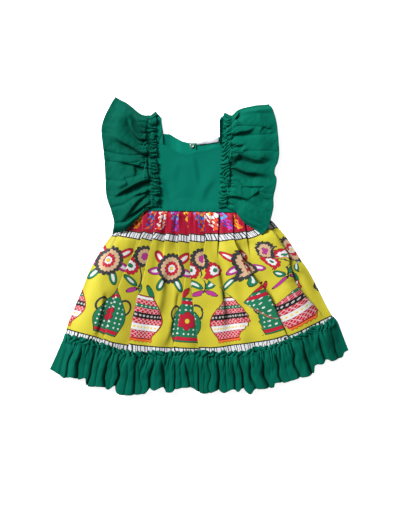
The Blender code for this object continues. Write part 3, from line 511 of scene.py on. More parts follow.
def lapped(side, tangent, lower_side, strength, step, step_width, easy_width, overhang):
    """Offsets that a fold gives, its crest leaning over the side that drops, and the painted shade beside its
    drop.
    """
    lower = side * lower_side
    behind, beyond = np.exp(-(lower / (2.0 + step_width)) ** 2), 1.0 - smooth(lower / step_width)
    lean = np.where(lower < 0.0, behind, beyond)
    lean = lean * overhang * step_width * strength * lower_side
    rise = step * strength * fold_profile(lower, step_width, easy_width)
    shade = strength * min(step / 6.0, 1.3) * np.exp(-((lower / step_width - 0.6) / 0.7) ** 2)
    return np.stack((-tangent[..., 1] * lean, tangent[..., 0] * lean, rise, shade))


def fold(x, y, line, step, step_width, easy_width, lower_side, start_fade, end_fade):
    """Offsets of one fold, fading out towards both of its ends."""
    side, share, past_end, tangent = beside(x, y, line)
    fade = smooth(share / start_fade) * smooth((1.0 - share) / end_fade) * np.exp(-(past_end / 6.0) ** 2)
    return lapped(side, tangent, lower_side, fade, step, step_width, easy_width, FOLD_OVERHANG)


# Cloth surfaces: each gives the place of its grid, the place on the cut cloth, the way along and
# away from its hem, all in millimetres, and the painted shade that darkens its colour in creases and gaps

Placed = namedtuple("Placed", "x y z across down along away crease", defaults=(0.0,))


def front_bodice_height(x, y):
    middle = 0.5 * (WAIST_LEFT + WAIST_RIGHT)
    from_middle = np.abs(x - middle) / (0.5 * (WAIST_RIGHT - WAIST_LEFT))
    height = mix(FRONT_IN_MIDDLE, FRONT_AT_STRAP, smooth((from_middle - 0.15) / 0.45))
    height = height + 1.1 * np.exp(-((x + 34.0) / 20.0) ** 2) * smooth((205.0 - y) / 40.0)
    across = x - 14.0 - 0.4 * (y - 130.0)
    height = height + 1.0 * np.exp(-(across / 14.0) ** 2) * smooth((180.0 - y) / 40.0)
    height = mix(height, FRONT_AT_WAIST, smooth((98.0 - y) / 20.0))
    corner = mix(FRONT_AT_WAIST_CORNER, FRONT_AT_STRAP, smooth((y - 75.0) / 16.0))
    return mix(corner, height, smooth((1.0 - from_middle) / 0.10))


def back_bodice_height(x, y, lap):
    left = smooth((BACK_FLAT_LEFT - x) / (BACK_FLAT_LEFT - BACK_LIFTED_LEFT))
    right = smooth((x - BACK_FLAT_RIGHT) / (BACK_LIFTED_RIGHT - BACK_FLAT_RIGHT))
    raised = BACK_LIFT * np.maximum(left, right) * smooth((y - 78.0) / 28.0)
    return np.maximum(raised, lap)


def left_back_lap(x):
    return BACK_LAP * smooth((x + 52.0) / 14.0)


def bodice_sides(y, top):
    share = (y - WAIST[0][1]) / (UNDERARM_HEIGHT - WAIST[0][1])
    arm = smooth((y - UNDERARM_HEIGHT) / (top - UNDERARM_HEIGHT)) ** 0.6
    below = y <= UNDERARM_HEIGHT
    sides = ((WAIST_LEFT, UNDERARM_LEFT, STRAP_LEFT_OUTER), (WAIST_RIGHT, UNDERARM_RIGHT, STRAP_RIGHT_OUTER))
    return [np.where(below, mix(waist, underarm, share), mix(underarm, strap, arm))
            for waist, underarm, strap in sides]


def bodice_front_surface(u, v):
    waist = curve_at(WAIST, u)[..., 1]
    neck = height_on(FRONT_NECK, mix(STRAP_LEFT_OUTER, STRAP_RIGHT_OUTER, u))
    y = mix(neck, waist, v)
    left, right = bodice_sides(mix(220.0, 73.0, v), 220.0)
    x = mix(left, right, u)
    z = front_bodice_height(x, y)
    for line, step, step_width, easy_width, lower_side in BODICE_FOLDS:
        z = z + fold(x, y, line, step, step_width, easy_width, lower_side, 0.3, 0.4)[2]
    z = z + 0.3 * rumple(x, y, 34.0, 0.6) * smooth(v / 0.2)
    above_waist = y - waist
    z = z + 0.35 * np.sin(x / 2.3 + 1.3 * np.sin(x / 17.0)) * np.exp(-above_waist / 7.0)
    z = z + 0.25 * smooth((7.5 - (neck - y)) / 0.8)
    return Placed(x, y, z, x, y, x, neck - y)


def label_depth(x):
    share = (x - LABEL_LEFT) / (LABEL_RIGHT - LABEL_LEFT)
    return mix(LABEL_HEIGHT_LEFT, LABEL_HEIGHT_RIGHT, share)


def back_panel_surface(first, last, lap):
    def surface(u, v):
        left, right = bodice_sides(mix(240.0, 73.0, v), 240.0)
        start = left if first is None else first
        end = right if last is None else last
        x = mix(start, end, u)
        top_start = STRAP_LEFT_OUTER if first is None else first
        top_end = STRAP_RIGHT_OUTER if last is None else last
        neck = height_on(BACK_NECK, mix(top_start, top_end, u))
        y = mix(neck, BACK_SEAM, v)
        z = back_bodice_height(x, y, lap(x)) + 0.2 * smooth((7.5 - (neck - y)) / 0.8)
        # Painted shadow: a dark band on the back just under the label's lower edge
        below_label = neck - y - LABEL_NECK_DROP - label_depth(x)
        by_label = smooth((x - LABEL_LEFT) / 2.0) * smooth((LABEL_RIGHT - x) / 2.0)
        crease = 0.9 * by_label * np.exp(-((below_label - 1.2) / 1.8) ** 2)
        return Placed(x, y, z, x, y, x, neck - y, crease)
    return surface


def strap_surface(outer, inner, front_end, back_end, shoulder, taper, roll):
    """A band from its front end over the shoulder's rounded line to its back end, on its inner
    face. The taper narrows its first side at the shoulder, and the roll lifts its second side."""
    back_level = BACK_LIFT + CAD_WALL
    radius = 0.5 * (FRONT_AT_STRAP - back_level)
    gap = 0.4
    front_length = SHOULDER_HEIGHT - front_end - gap
    turn_length = math.pi * 2.0
    back_length = SHOULDER_HEIGHT - back_end - gap

    def surface(u, v):
        travel = v * (front_length + turn_length + back_length)
        to_end = np.minimum(travel / front_length, (1.0 - v) * (travel[0, -1] / back_length))
        x = mix(outer - taper * smooth(to_end), inner, u)
        over = np.clip((travel - front_length) / turn_length, 0.0, 1.0)
        angle = math.pi * (0.5 - over)
        top = height_on(shoulder, x)
        rising = mix(front_end + gap, top, travel / front_length)
        falling = mix(top, back_end + gap, (travel - front_length - turn_length) / back_length)
        y = np.where(travel < front_length, rising, top + radius * np.cos(angle))
        y = np.where(travel > front_length + turn_length, falling, y)
        z = 0.5 * (FRONT_AT_STRAP + back_level) + radius * np.sin(angle)
        z = z + 0.3 * rumple(x, y, 9.0, 0.4) * smooth((front_length - travel) / 10.0)
        upright = smooth(travel / 8.0) * smooth((front_length - travel) / 4.0)
        # The rolled side of the right strap and the fold of the left strap also get painted shade
        rolled = (1.0 - smooth((x - STRAP_RIGHT_INNER) / 9.0)) * upright * np.sign(roll)
        side, _, past_end, _ = beside(x, y, STRAP_FOLD)
        folded = np.exp(-(side / 1.6) ** 2 - (past_end / 3.0) ** 2) * (travel < front_length)
        z = z + roll * rolled - 0.8 * folded
        return Placed(x, y, z, x, travel, travel, x - min(outer, inner), np.maximum(rolled, 0.8 * folded))
    return surface


def skirt_plan(u, v):
    """Place of the skirt seen from above: u from left to right, v from the waist down."""
    def top(share):
        lift = mix(SKIRT_LEFT[0][1] - WAIST[0][1], SKIRT_RIGHT[0][1] - WAIST[-1][1], share)
        place = curve_at(WAIST, share)
        place[..., 1] += lift
        return place

    def bottom(share):
        shift = mix(np.array(SKIRT_LEFT[-1]) - np.array(HEM_LINE[0]),
                    np.array(SKIRT_RIGHT[-1]) - np.array(HEM_LINE[-1]), share[..., None])
        return curve_at(HEM_LINE, share) + shift

    return patch_at(top, bottom, lambda t: curve_at(SKIRT_LEFT, t),
                    lambda t: curve_at(SKIRT_RIGHT, t), u, v)


def pleated(x, y, pleats):
    """Offsets that the pleats add, the cloth that they fold away, the print's jog and the painted shade
    beside them.
    """
    offsets = np.zeros((4,) + x.shape)
    hidden = np.zeros_like(x)
    jog = np.zeros_like(x)
    crease = np.zeros_like(x)
    for line, first, last, step, step_width, easy_width, lower_side in pleats:
        side, share, past_end, tangent = beside(x, y, line)
        strength = smooth(share / 0.04) * np.exp(-(past_end / 8.0) ** 2)
        if last == 0:
            strength = strength * smooth((1.0 - share) / 0.5)
        if first == 0:
            strength = strength * smooth(share / 0.4)
        offsets = offsets + lapped(side, tangent, lower_side, strength, step, step_width, easy_width,
                                   PLEAT_OVERHANG)
        turned = smooth((side + (0.5 - 0.5 * lower_side) * step_width) / step_width)
        hidden = hidden + mix(first, last, smooth(share)) * turned
        jog = jog - lower_side * 0.3 * step * strength * np.sign(side) * np.exp(-np.abs(side) / 12.0)
        # Painted shade: a broad dark band on each pleat's lower side and a thin dark line along its edge
        lower = side * lower_side
        deep = SHADE_AT_LEFT if lower_side < 0 else SHADE_AT_RIGHT
        crease = np.maximum(crease, strength * np.where(
            lower > 0.0, deep * np.exp(-lower / (0.65 * easy_width)), 0.3 * np.exp(lower / 1.0)))
    return offsets, hidden, jog, crease


def across_cloth(place, hidden):
    """Place across the cut cloth: what is seen and what the pleats fold away, equal in each half."""
    steps = np.linalg.norm(np.diff(place, axis=0), axis=2)
    seen = np.concatenate((np.zeros((1, place.shape[1])), np.cumsum(steps, axis=0)))
    middle = place.shape[0] // 2
    half = 0.5 * SKIRT_CUT_WIDTH
    left = (half - seen[middle]) / np.maximum(hidden[middle], 0.1)
    right = (half - seen[-1] + seen[middle]) / np.maximum(hidden[-1] - hidden[middle], 0.1)
    first = seen[:middle + 1] + hidden[:middle + 1] * left
    second = half + seen[middle + 1:] - seen[middle] + (hidden[middle + 1:] - hidden[middle]) * right
    return np.concatenate((first, second))


def crown(x, y, v):
    """Height of the crests over the valleys, less where the flutters lie on the skirt."""
    full = CREST_BY_WAIST * smooth((v - 0.006) / 0.05) + CREST_BELOW * smooth((v - 0.08) / 0.35)
    full = full - CREST_LOST_BY_HEM * smooth((v - 0.78) / 0.2)
    under = np.maximum(smooth((-118.0 - x) / 20.0), smooth((x - 82.0) / 20.0)) * smooth((y - 8.0) / 20.0)
    return full * (1.0 - 0.62 * under)


def skirt_level(u, v):
    side = at_side(u)
    at_waist = mix(AT_SIDE_SEAM, SKIRT_FRONT_AT_WAIST, side)
    level = mix(AT_SIDE_SEAM, SKIRT_FRONT_LEVEL, side)
    at_hem = mix(AT_SIDE_SEAM_BY_HEM, SKIRT_FRONT_AT_HEM, side)
    return mix(mix(at_waist, level, smooth((v - 0.02) / 0.06)), at_hem, smooth((v - 0.80) / 0.10))


def skirt_front_at(u, v):
    """Plan, place with its folds, and the print's coordinates of the skirt's front."""
    place = skirt_plan(u, v)
    x, y = place[..., 0], place[..., 1]
    folds, hidden, jog, crease = pleated(x, y, FRONT_PLEATS)
    for line, step, step_width, easy_width, lower_side in SKIRT_FOLDS:
        bent = fold(x, y, line, step, step_width, easy_width, lower_side, 0.2, 0.3)
        folds = folds + bent
        # Painted shade beside the soft folds' drops as well
        crease = np.maximum(crease, 0.36 * bent[3])
    folds = folds * smooth((v - 0.003) / 0.03) * at_side(u)
    full = crown(x, y, v)
    gathers = SKIRT_GATHERS * np.sin(x / 1.9 + 2.0 * np.sin(x / 15.0)) * smooth(v / 0.015) * np.exp(-v / 0.10)
    fan = u * 26.0 + 1.4 * np.sin(u * 19.0)
    waves = SKIRT_WAVES * np.sin(fan) * np.sin(0.61 * fan + 1.0) * smooth(v / 0.2)
    lumps = SKIRT_LUMPS * rumple(x, y, 24.0, 0.2) * smooth(v / 0.3)
    lift = 0.60 * full + folds[2] + gathers + waves + lumps
    z = skirt_level(u, v) + at_side(u) * np.clip(lift, 0.0, 1.3 * full)
    return place, x + folds[0], y + folds[1], z, hidden, jog, crease


def below_waist(place):
    """Distance down each thread line of the skirt from its top edge."""
    steps = np.linalg.norm(np.diff(place, axis=1), axis=2)
    return np.concatenate((np.zeros((place.shape[0], 1)), np.cumsum(steps, axis=1)), axis=1)


def skirt_front_surface(u, v):
    place, x, y, z, hidden, jog, crease = skirt_front_at(u, v)
    across = across_cloth(place, hidden)
    right_side = smooth((u - 0.80) / 0.2)
    sagging = SAG_IN_MIDDLE * smooth((x + 230.0) / 40.0) * smooth((95.0 - x) / 70.0)
    sagging = sagging + SAG_AT_LEFT * np.exp(-((x + 180.0) / 45.0) ** 2)
    sagging = sagging * smooth((v - 0.6) / 0.3)
    down = below_waist(place) - SKIRT_TUCK + PRINT_RISE_AT_RIGHT * right_side + jog - sagging
    to_hem = SKIRT_LENGTH - v * SKIRT_LENGTH
    return Placed(x, y, z, across + PRINT_SHIFT, down, across, to_hem, crease)


def skirt_back_surface(u, v):
    place = skirt_plan(u, v)
    x = place[..., 0]
    y = place[..., 1] - SKIRT_TUCK * smooth(1.0 - v / 0.02)
    folds, hidden, _, crease = pleated(x, place[..., 1], BACK_PLEATS)
    side = at_side(u)
    rise = mix(AT_SIDE_SEAM, SKIRT_BACK_AT_HEM, side) * smooth((v - 0.80) / 0.10)
    rise = rise + 0.7 * smooth(1.0 - v / 0.03)
    lift = np.clip(0.9 + folds[2], 0.0, 2.6) * (1.0 - smooth((v - 0.8) / 0.1)) * smooth(v / 0.04)
    across = across_cloth(place, hidden)
    down = below_waist(place) - SKIRT_TUCK
    to_hem = SKIRT_LENGTH - v * SKIRT_LENGTH
    # The back's pleats get half of their painted shade
    return Placed(x, y, rise + side * lift, across, down, across, to_hem, 0.5 * crease)


def flounce_plan(u, r, inset):
    stitched = curve_at(HEM_LINE, u)
    above = skirt_plan(u, np.full_like(u, 0.9))
    upward = above - stitched
    upward = upward / np.linalg.norm(upward, axis=2, keepdims=True)
    heading = stitched + upward * (-np.minimum(r, 0.0) * FLOUNCE_HEADING)[..., None]
    edge = curve_at(FLOUNCE_EDGE, u)
    inward = stitched - edge
    edge = edge + inward / np.linalg.norm(inward, axis=2, keepdims=True) * inset
    return np.where((r < 0.0)[..., None], heading, mix(stitched, edge, np.maximum(r, 0.0)[..., None]))


def flounce_wave(r):
    below = mix(1.5, 7.5, smooth(r / 0.9))
    return np.where(r < 0.0, mix(1.5, 4.2, -r), below)


def flutes(x, share, valleys):
    """Rounded flutes between valleys: their height from 0 to about 1 and the painted shade near a deep
    valley.
    """
    top, bottom, depth = np.array(valleys, dtype=float).T
    lines = mix(top, bottom, share[..., None])
    right = np.clip((lines < x[..., None]).sum(axis=-1), 1, len(top) - 1)
    left = right - 1
    start = np.take_along_axis(lines, left[..., None], -1)[..., 0]
    end = np.take_along_axis(lines, right[..., None], -1)[..., 0]
    place = np.clip((x - start) / (end - start), 0.0, 1.0)
    crest = np.minimum((bottom[right] - bottom[left]) / 22.0, 1.2) ** 0.6
    floor = crest * (1.0 - mix(depth[left], depth[right], smooth(place)) ** 2)
    rounded = 1.0 - np.abs(2.0 * place ** 0.85 - 1.0) ** 3.4
    from_valley = np.minimum(x - start, end - x)
    near = np.where(x - start < end - x, depth[left], depth[right])
    return mix(floor, crest, rounded), near ** 2 * np.exp(-from_valley / 3.0)


def flounce_front_surface(u, v):
    """Heading, stitching line and flutes of the flounce: v runs from the heading's edge down."""
    heading_share = FLOUNCE_HEADING_SHARE
    r = np.where(v < heading_share, v / heading_share - 1.0, (v - heading_share) / (1.0 - heading_share))
    out, back = np.maximum(r, 0.0), np.maximum(-r, 0.0)
    place = flounce_plan(u, r, 0.0)
    x, y = place[..., 0], place[..., 1]
    side = at_side(u)
    near_seam = smooth(np.minimum(u, 1.0 - u) / 0.02)
    along = u * FLOUNCE_SEAM
    raised, valley = flutes(x + 4.0 * noise(x / 30.0, y / 26.0, 4), out, FLOUNCE_VALLEYS)
    from_stitching = np.where(r < 0.0, r * FLOUNCE_HEADING, r * FLOUNCE_DEPTH)
    gathers = crumpled(along, from_stitching, 5.0, 6.0, 21)
    near = np.exp(-(out / 0.30) ** 2)
    shared_lift = STITCHED_HEIGHT * near + FLUTE_HEIGHT * raised * smooth((out + 0.10) / 0.6)
    lift = shared_lift + FLOUNCE_GATHERS * near * (gathers - 0.5) + 0.8 * noise(x / 9.0, y / 16.0, 6)
    curls = mix(gathers, curled(along, back, 12.5, 33), smooth(back / 0.3))
    headed = shared_lift + FLOUNCE_CURLS * (curls - 0.6) - 1.2 * smooth((back - 0.5) / 0.5)
    lift = np.clip(np.where(r < 0.0, headed, lift), 0.0, FLOUNCE_HIGHEST)
    stitched = np.exp(-(from_stitching / 1.2) ** 2)
    lift = np.maximum(lift - 0.9 * stitched, 0.0)
    under_heading = 1.0 - (SKIRT_BELOW_HEM_LINE + back * FLOUNCE_HEADING) / SKIRT_LENGTH
    on_skirt = widest(skirt_front_at(u, under_heading)[3], 6) + 1.2
    base = mix(on_skirt, mix(AT_SIDE_SEAM, RUFFLE_FRONT_LEVEL, side), smooth((r - 0.05) / 0.6))
    z = base + mix(near_seam, side, smooth(out / 0.1)) * lift
    ragged = FLOUNCE_RAGGED * (curls - 0.6) * smooth(back) * near_seam
    x = x + FLOUNCE_WANDER * noise(along / 7.0, 1.5 * back, 8) * smooth(back) * near_seam
    y = y - 0.22 * (lift - 6.0) * smooth((out - 0.4) / 0.6) * side + ragged
    to_edge = (1.0 - r) * FLOUNCE_DEPTH
    z = z + np.where(r > 0.5, 0.3 * smooth((7.0 - to_edge) / 0.7), 0.0)
    # Painted shade: darker colour in the flutes' valleys, in a line just under the stitching and in the gaps
    # between gathers and curls
    dips = np.maximum(smooth(back / 0.2), near) * (1.0 - smooth(np.where(r < 0.0, curls, gathers) / 0.8))
    under = 0.75 * np.exp(-((from_stitching - 1.5) / 2.4) ** 2) * (1.0 - 0.6 * smooth(gathers - 0.2))
    crease = np.maximum(np.maximum(valley * smooth(out / 0.3), under), 0.95 * dips) * near_seam
    across = u * FLOUNCE_CUT_WIDTH
    return Placed(x, y, z, across, r * FLOUNCE_DEPTH, across, to_edge, crease)


def flounce_back_surface(u, v):
    heading_share = FLOUNCE_BACK_HEADING_SHARE
    r = np.where(v < heading_share, v / heading_share - 1.0, (v - heading_share) / (1.0 - heading_share))
    phase = u * FLOUNCE_WAVES_BACK
    share = uneven(u, 0.05)
    place = flounce_plan(share, r, BACK_INSET)
    side = at_side(share)
    wave = side * np.minimum(2.6, flounce_wave(r) * 0.7)
    z = wave * (1.0 - flute(phase))
    across = u * FLOUNCE_CUT_WIDTH
    return Placed(place[..., 0], place[..., 1], z, across, r * FLOUNCE_DEPTH, across,
                  (1.0 - r) * FLOUNCE_DEPTH)


def pucker_height(r):
    puckered = 2.9 * smooth(r / 0.08) * np.exp(-(np.maximum(r, 0.0) / 0.42) ** 2)
    outward = 1.6 * (1.0 - smooth(r / 0.05)) + puckered
    return np.where(r < 0.0, mix(1.6, 4.2, -r), outward)


def flutter_surface(cut, creases, seed):
    """A flutter ruffle on its inner face: back half, fold at the shoulder, front half."""
    direction = np.array((1.0, 0.0)) * cut["heading"]
    fold_start, fold_end = FLUTTER_FOLD
    inward = 1.0 if cut["heading"] > 0 else -1.0

    def plan(s, r, lower):
        gather_end = 1.0 if lower == "lower" else BACK_GATHER_SHARE
        outer_end = 1.0 if lower == "lower" else BACK_OUTER_SHARE

        def gather(share):
            return curve_at(cut["gather"], share * gather_end)

        def outer(share):
            return curve_at(cut["outer"], share * outer_end)
        out = np.maximum(r, 0.0)
        place = patch_at(lambda t: curve_at(cut["top"], t), lambda t: curve_at(cut[lower], t),
                         gather, outer, out, s)
        place = place - direction * np.minimum(r, 0.0)[..., None]
        loop = cut["loop"] * smooth(-r) * (1.0 - smooth(s / 0.09))
        return place + np.stack((np.zeros_like(loop), loop), axis=-1)

    def front_base(s, r):
        base = mix(FLUTTER_BASE, FLUTTER_BASE_LOW, smooth((r - 0.62) / 0.3))
        low = mix(FLUTTER_BASE_AT_WAIST, 9.0, smooth((r - 0.5) / 0.5))
        return mix(base, low, smooth((s - 0.70) / 0.10))

    def front_half(s, r):
        place = plan(s, r, "lower")
        x, y = place[..., 0], place[..., 1]
        out, back = np.maximum(r, 0.0), np.maximum(-r, 0.0)
        folds = np.zeros((4,) + x.shape)
        for line, drop, step_width, easy_width in creases:
            folds = folds + fold(x, y, line, drop, 1.5 * step_width + 2.0, 1.2 * easy_width, inward,
                                 0.03, 0.5)
        from_stitching = np.where(r < 0.0, r * abs(cut["heading"]), r * FLUTTER_WIDTH)
        down = s * FLUTTER_SEAM + 0.5 * from_stitching * np.exp(-(from_stitching / 16.0) ** 2)
        gathers = crumpled(down, from_stitching, 4.4, 7.0, seed)
        near = np.exp(-(out / 0.17) ** 2)
        swells = crumpled(down, out * FLUTTER_WIDTH, 13.0, 7.0, seed + 5) - 0.5
        body = FLUTTER_BODY * mix(0.60, 1.0, smooth(out / 0.16)) * mix(1.0, 0.7, smooth((r - 0.6) / 0.4))
        lift = body + CREASE_STRENGTH * folds[2] * smooth(out / 0.05)
        lift = lift + FLUTTER_GATHERS * near * (gathers - 0.5)
        lift = lift + FLUTTER_SWELLS * swells * smooth(out / 0.25)
        lift = lift + 0.5 * noise(x / 7.0, y / 7.0, seed + 9) * smooth(r / 0.3)
        curls = mix(gathers, curled(down, back, 8.5, seed + 12), smooth(back / 0.3))
        headed = 0.60 * FLUTTER_BODY + FLUTTER_CURLS * (curls - 0.6) - 2.0 * smooth((back - 0.5) / 0.5)
        lift = np.where(r < 0.0, np.maximum(headed, 0.0), np.clip(lift, 0.0, FLUTTER_HIGHEST))
        stitched = np.exp(-(from_stitching / 1.1) ** 2)
        lift = np.maximum(lift - 0.9 * stitched, 0.0)
        ends = smooth(s / 0.05) * smooth((1.02 - s) / 0.07)
        beyond = smooth(r / 0.02) * smooth((1.0 - r) / 0.08) * ends
        ragged = (FLUTTER_RAGGED * (curls - 0.55) * inward) * smooth(back)
        wander = FLUTTER_WANDER * noise(down / 5.0, 1.5 * back, seed + 3) * smooth(back)
        # Painted shade: darker colour along the stitching, in the gaps between gathers and curls and beside
        # each crease's drop
        dips = np.maximum(smooth(back / 0.2), near) * (1.0 - smooth(np.where(r < 0.0, curls, gathers) / 0.7))
        crease = np.maximum(0.3 * stitched, 0.85 * dips)
        crease = np.maximum(crease, np.clip(0.52 * folds[3], 0.0, 0.75) * smooth(out / 0.03))
        x = x + folds[0] * beyond + ragged
        y = y + folds[1] * beyond + wander
        return x, y, front_base(s, r) + lift * ends, crease

    def surface(u, v):
        heading_share = FLUTTER_HEADING_SHARE
        r = np.where(v < heading_share, v / heading_share - 1.0,
                     ((v - heading_share) / (1.0 - heading_share)) ** 1.25)
        front = u >= fold_end
        back = u <= fold_start
        s_front = np.clip((u - fold_end) / (1.0 - fold_end), 0.0, 1.0)
        s_back = np.clip(1.0 - u / fold_start, 0.0, 1.0)
        zero = np.zeros_like(u)
        x_front, y_front, z_front, front_painted_shade = front_half(s_front, r)
        # Back half, on the surface
        place = plan(s_back, r, "lower_back")
        back_wave = np.minimum(2.6, pucker_height(r) + 1.2 * smooth(r / 0.5))
        back_base = CAD_WALL + back_wave
        x_back = place[..., 0] + inward * BACK_INSET * smooth(r / 0.5) * smooth(s_back / 0.2)
        y_back = place[..., 1]
        z_back = back_base - back_wave * flute(s_back * PUCKERS_BACK)
        # Fold between them
        angle = math.pi * ((u - fold_start) / (fold_end - fold_start) - 0.5)
        place = plan(zero, r, "lower")
        radius = 0.5 * (front_base(zero, r) - back_base)
        x_fold = place[..., 0]
        y_fold = place[..., 1] + radius * np.cos(angle)
        z_fold = back_base + radius + radius * np.sin(angle)
        x = np.where(front, x_front, np.where(back, x_back, x_fold))
        y = np.where(front, y_front, np.where(back, y_back, y_fold))
        z = np.where(front, z_front, np.where(back, z_back, z_fold))
        to_edge = (1.0 - r) * FLUTTER_WIDTH
        z = z + np.where(front, 0.3 * smooth((6.0 - to_edge) / 0.7), 0.0)
        crease = np.where(front, front_painted_shade, 0.0)
        across = u * FLUTTER_CUT_WIDTH
        return Placed(x, y, z, across, r * FLUTTER_WIDTH, across, to_edge, crease)
    return surface


def label_surface(u, v):
    x = mix(LABEL_LEFT, LABEL_RIGHT, u)
    height = label_depth(x)
    y = height_on(BACK_NECK, x) - LABEL_NECK_DROP - height * v
    z = back_bodice_height(x, y, 0.0) + 1.9 + 0.7 * np.sin(math.pi * v) + 0.2 * np.sin(x / 4.0)
    return Placed(x, y, z, x, y, x, height * v)


# Shader node helpers

class Sketch:
    """Adds nodes to a tree, so that a pattern reads as a formula. A shape is the distance to its
    outline in millimetres, less than 0 inside it."""

    def __init__(self, tree):
        self.tree = tree

    def node(self, kind, **settings):
        node = self.tree.nodes.new(kind)
        for key, value in settings.items():
            setattr(node, key, value)
        return node

    def put(self, socket, value):
        if isinstance(value, bpy.types.NodeSocket):
            self.tree.links.new(value, socket)
        elif isinstance(value, (tuple, list)) and len(value) == 3 and socket.type == "RGBA":
            socket.default_value = (*value, 1.0)
        else:
            socket.default_value = value

    def math(self, operation, a, b=None, c=None):
        node = self.node("ShaderNodeMath", operation=operation)
        for socket, value in zip(node.inputs, (a, b, c)):
            if value is not None:
                self.put(socket, value)
        return node.outputs[0]

    def add(self, a, b):
        return self.math("ADD", a, b)

    def less(self, a, b):
        return self.math("LESS_THAN", a, b)

    def times(self, a, b):
        return self.math("MULTIPLY", a, b)

    def minus(self, a, b):
        return self.math("SUBTRACT", a, b)

    def both(self, a, b):
        """Distance of the part that two shapes share."""
        return self.math("MAXIMUM", a, b)

    def either(self, a, b):
        return self.math("MINIMUM", a, b)

    def colour(self, factor, a, b):
        node = self.node("ShaderNodeMix", data_type="RGBA")
        self.put(node.inputs[0], factor)
        self.put(node.inputs[6], a)
        self.put(node.inputs[7], b)
        return node.outputs[2]

    def ramp(self, value, low, high, to_low=0.0, to_high=1.0):
        node = self.node("ShaderNodeMapRange", interpolation_type="SMOOTHSTEP")
        for socket, setting in zip(node.inputs, (value, low, high, to_low, to_high)):
            self.put(socket, setting)
        return node.outputs[0]

    def inside(self, distance):
        return self.ramp(distance, 0.25, -0.25)

    def paint(self, ground, distance, colour, outline=0.0, line=(0.01, 0.008, 0.008)):
        """Fill a shape, given by its distance in millimetres, with an outline round it."""
        if outline > 0.0:
            ground = self.colour(self.inside(self.minus(distance, outline)), ground, line)
        return self.colour(self.inside(distance), ground, colour)

    def oval(self, x, y, middle_x, middle_y, wide, high):
        a = self.math("DIVIDE", self.minus(x, middle_x), wide)
        b = self.math("DIVIDE", self.minus(y, middle_y), high)
        length = self.math("SQRT", self.add(self.times(a, a), self.times(b, b)))
        return self.times(self.minus(length, 1.0), min(wide, high))

    def petals(self, x, y, middle_x, middle_y, radius, count, cut):
        """A flower seen from the front, its edge cut into petals."""
        a, b = self.minus(x, middle_x), self.minus(y, middle_y)
        length = self.math("SQRT", self.add(self.times(a, a), self.times(b, b)))
        turn = self.math("ARCTAN2", a, b)
        lobe = self.math("ABSOLUTE", self.math("COSINE", self.times(turn, 0.5 * count)))
        lobe = self.math("SQRT", lobe)
        return self.minus(length, self.math("MULTIPLY_ADD", lobe, radius * cut, radius * (1.0 - cut)))

    def slab(self, value, middle, half):
        return self.minus(self.math("ABSOLUTE", self.minus(value, middle)), half)


def cloth_uv(sketch, name="Cloth"):
    """The cloth's own coordinates in millimetres."""
    uv = sketch.node("ShaderNodeUVMap", uv_map=name)
    split = sketch.node("ShaderNodeSeparateXYZ")
    sketch.tree.links.new(uv.outputs[0], split.inputs[0])
    return sketch.times(split.outputs[0], 1000.0), sketch.times(split.outputs[1], 1000.0)


def group_tree(name, inputs, outputs):
    tree = bpy.data.node_groups.new(name, "ShaderNodeTree")
    for label, kind, default in inputs:
        socket = tree.interface.new_socket(label, in_out="INPUT", socket_type=kind)
        if default is not None:
            socket.default_value = default
    for label, kind in outputs:
        tree.interface.new_socket(label, in_out="OUTPUT", socket_type=kind)
    return tree, tree.nodes.new("NodeGroupInput"), tree.nodes.new("NodeGroupOutput")


def weave_group():
    """Plain weave: over and under threads, as a height."""
    tree, start, end = group_tree(
        "plain_weave",
        (("Across", "NodeSocketFloat", 0.0), ("Down", "NodeSocketFloat", 0.0),
         ("Pitch", "NodeSocketFloat", 0.5)),
        (("Height", "NodeSocketFloat"), ("Slub", "NodeSocketFloat")))
    s = Sketch(tree)
    across = s.math("DIVIDE", start.outputs["Across"], start.outputs["Pitch"])
    down = s.math("DIVIDE", start.outputs["Down"], start.outputs["Pitch"])
    warp = s.math("SINE", s.times(across, math.pi))
    weft = s.math("SINE", s.times(down, math.pi))
    over = s.times(warp, weft)
    threads = s.math("MULTIPLY_ADD", s.math("ABSOLUTE", warp), 0.5, s.times(s.math("ABSOLUTE", weft), 0.5))
    height = s.math("MULTIPLY_ADD", over, 0.5, threads)
    place = s.node("ShaderNodeCombineXYZ")
    s.put(place.inputs[0], s.times(start.outputs["Across"], 0.9))
    s.put(place.inputs[1], s.times(start.outputs["Down"], 0.12))
    noise = s.node("ShaderNodeTexNoise", noise_dimensions="2D")
    noise.inputs["Scale"].default_value = 1.0
    noise.inputs["Detail"].default_value = 3.0
    tree.links.new(place.outputs[0], noise.inputs["Vector"])
    tree.links.new(height, end.inputs["Height"])
    tree.links.new(noise.outputs[0], end.inputs["Slub"])
    return tree


def stitch_group():
    """A row of stitches: Mask is 1 on the thread and Height dips in the needle holes."""
    tree, start, end = group_tree(
        "stitch_row",
        (("Along", "NodeSocketFloat", 0.0), ("Away", "NodeSocketFloat", 0.0),
         ("Length", "NodeSocketFloat", STITCH_LENGTH)),
        (("Mask", "NodeSocketFloat"), ("Height", "NodeSocketFloat")))
    s = Sketch(tree)
    step = s.math("FRACT", s.math("DIVIDE", start.outputs["Along"], start.outputs["Length"]))
    on_thread = s.less(s.math("ABSOLUTE", s.minus(step, 0.5)), 0.36)
    near = s.ramp(s.math("ABSOLUTE", start.outputs["Away"]), 0.45, 0.20)
    mask = s.times(near, on_thread)
    groove = s.ramp(s.math("ABSOLUTE", start.outputs["Away"]), 1.4, 0.2)
    height = s.minus(s.times(mask, 0.6), groove)
    tree.links.new(mask, end.inputs["Mask"])
    tree.links.new(height, end.inputs["Height"])
    return tree


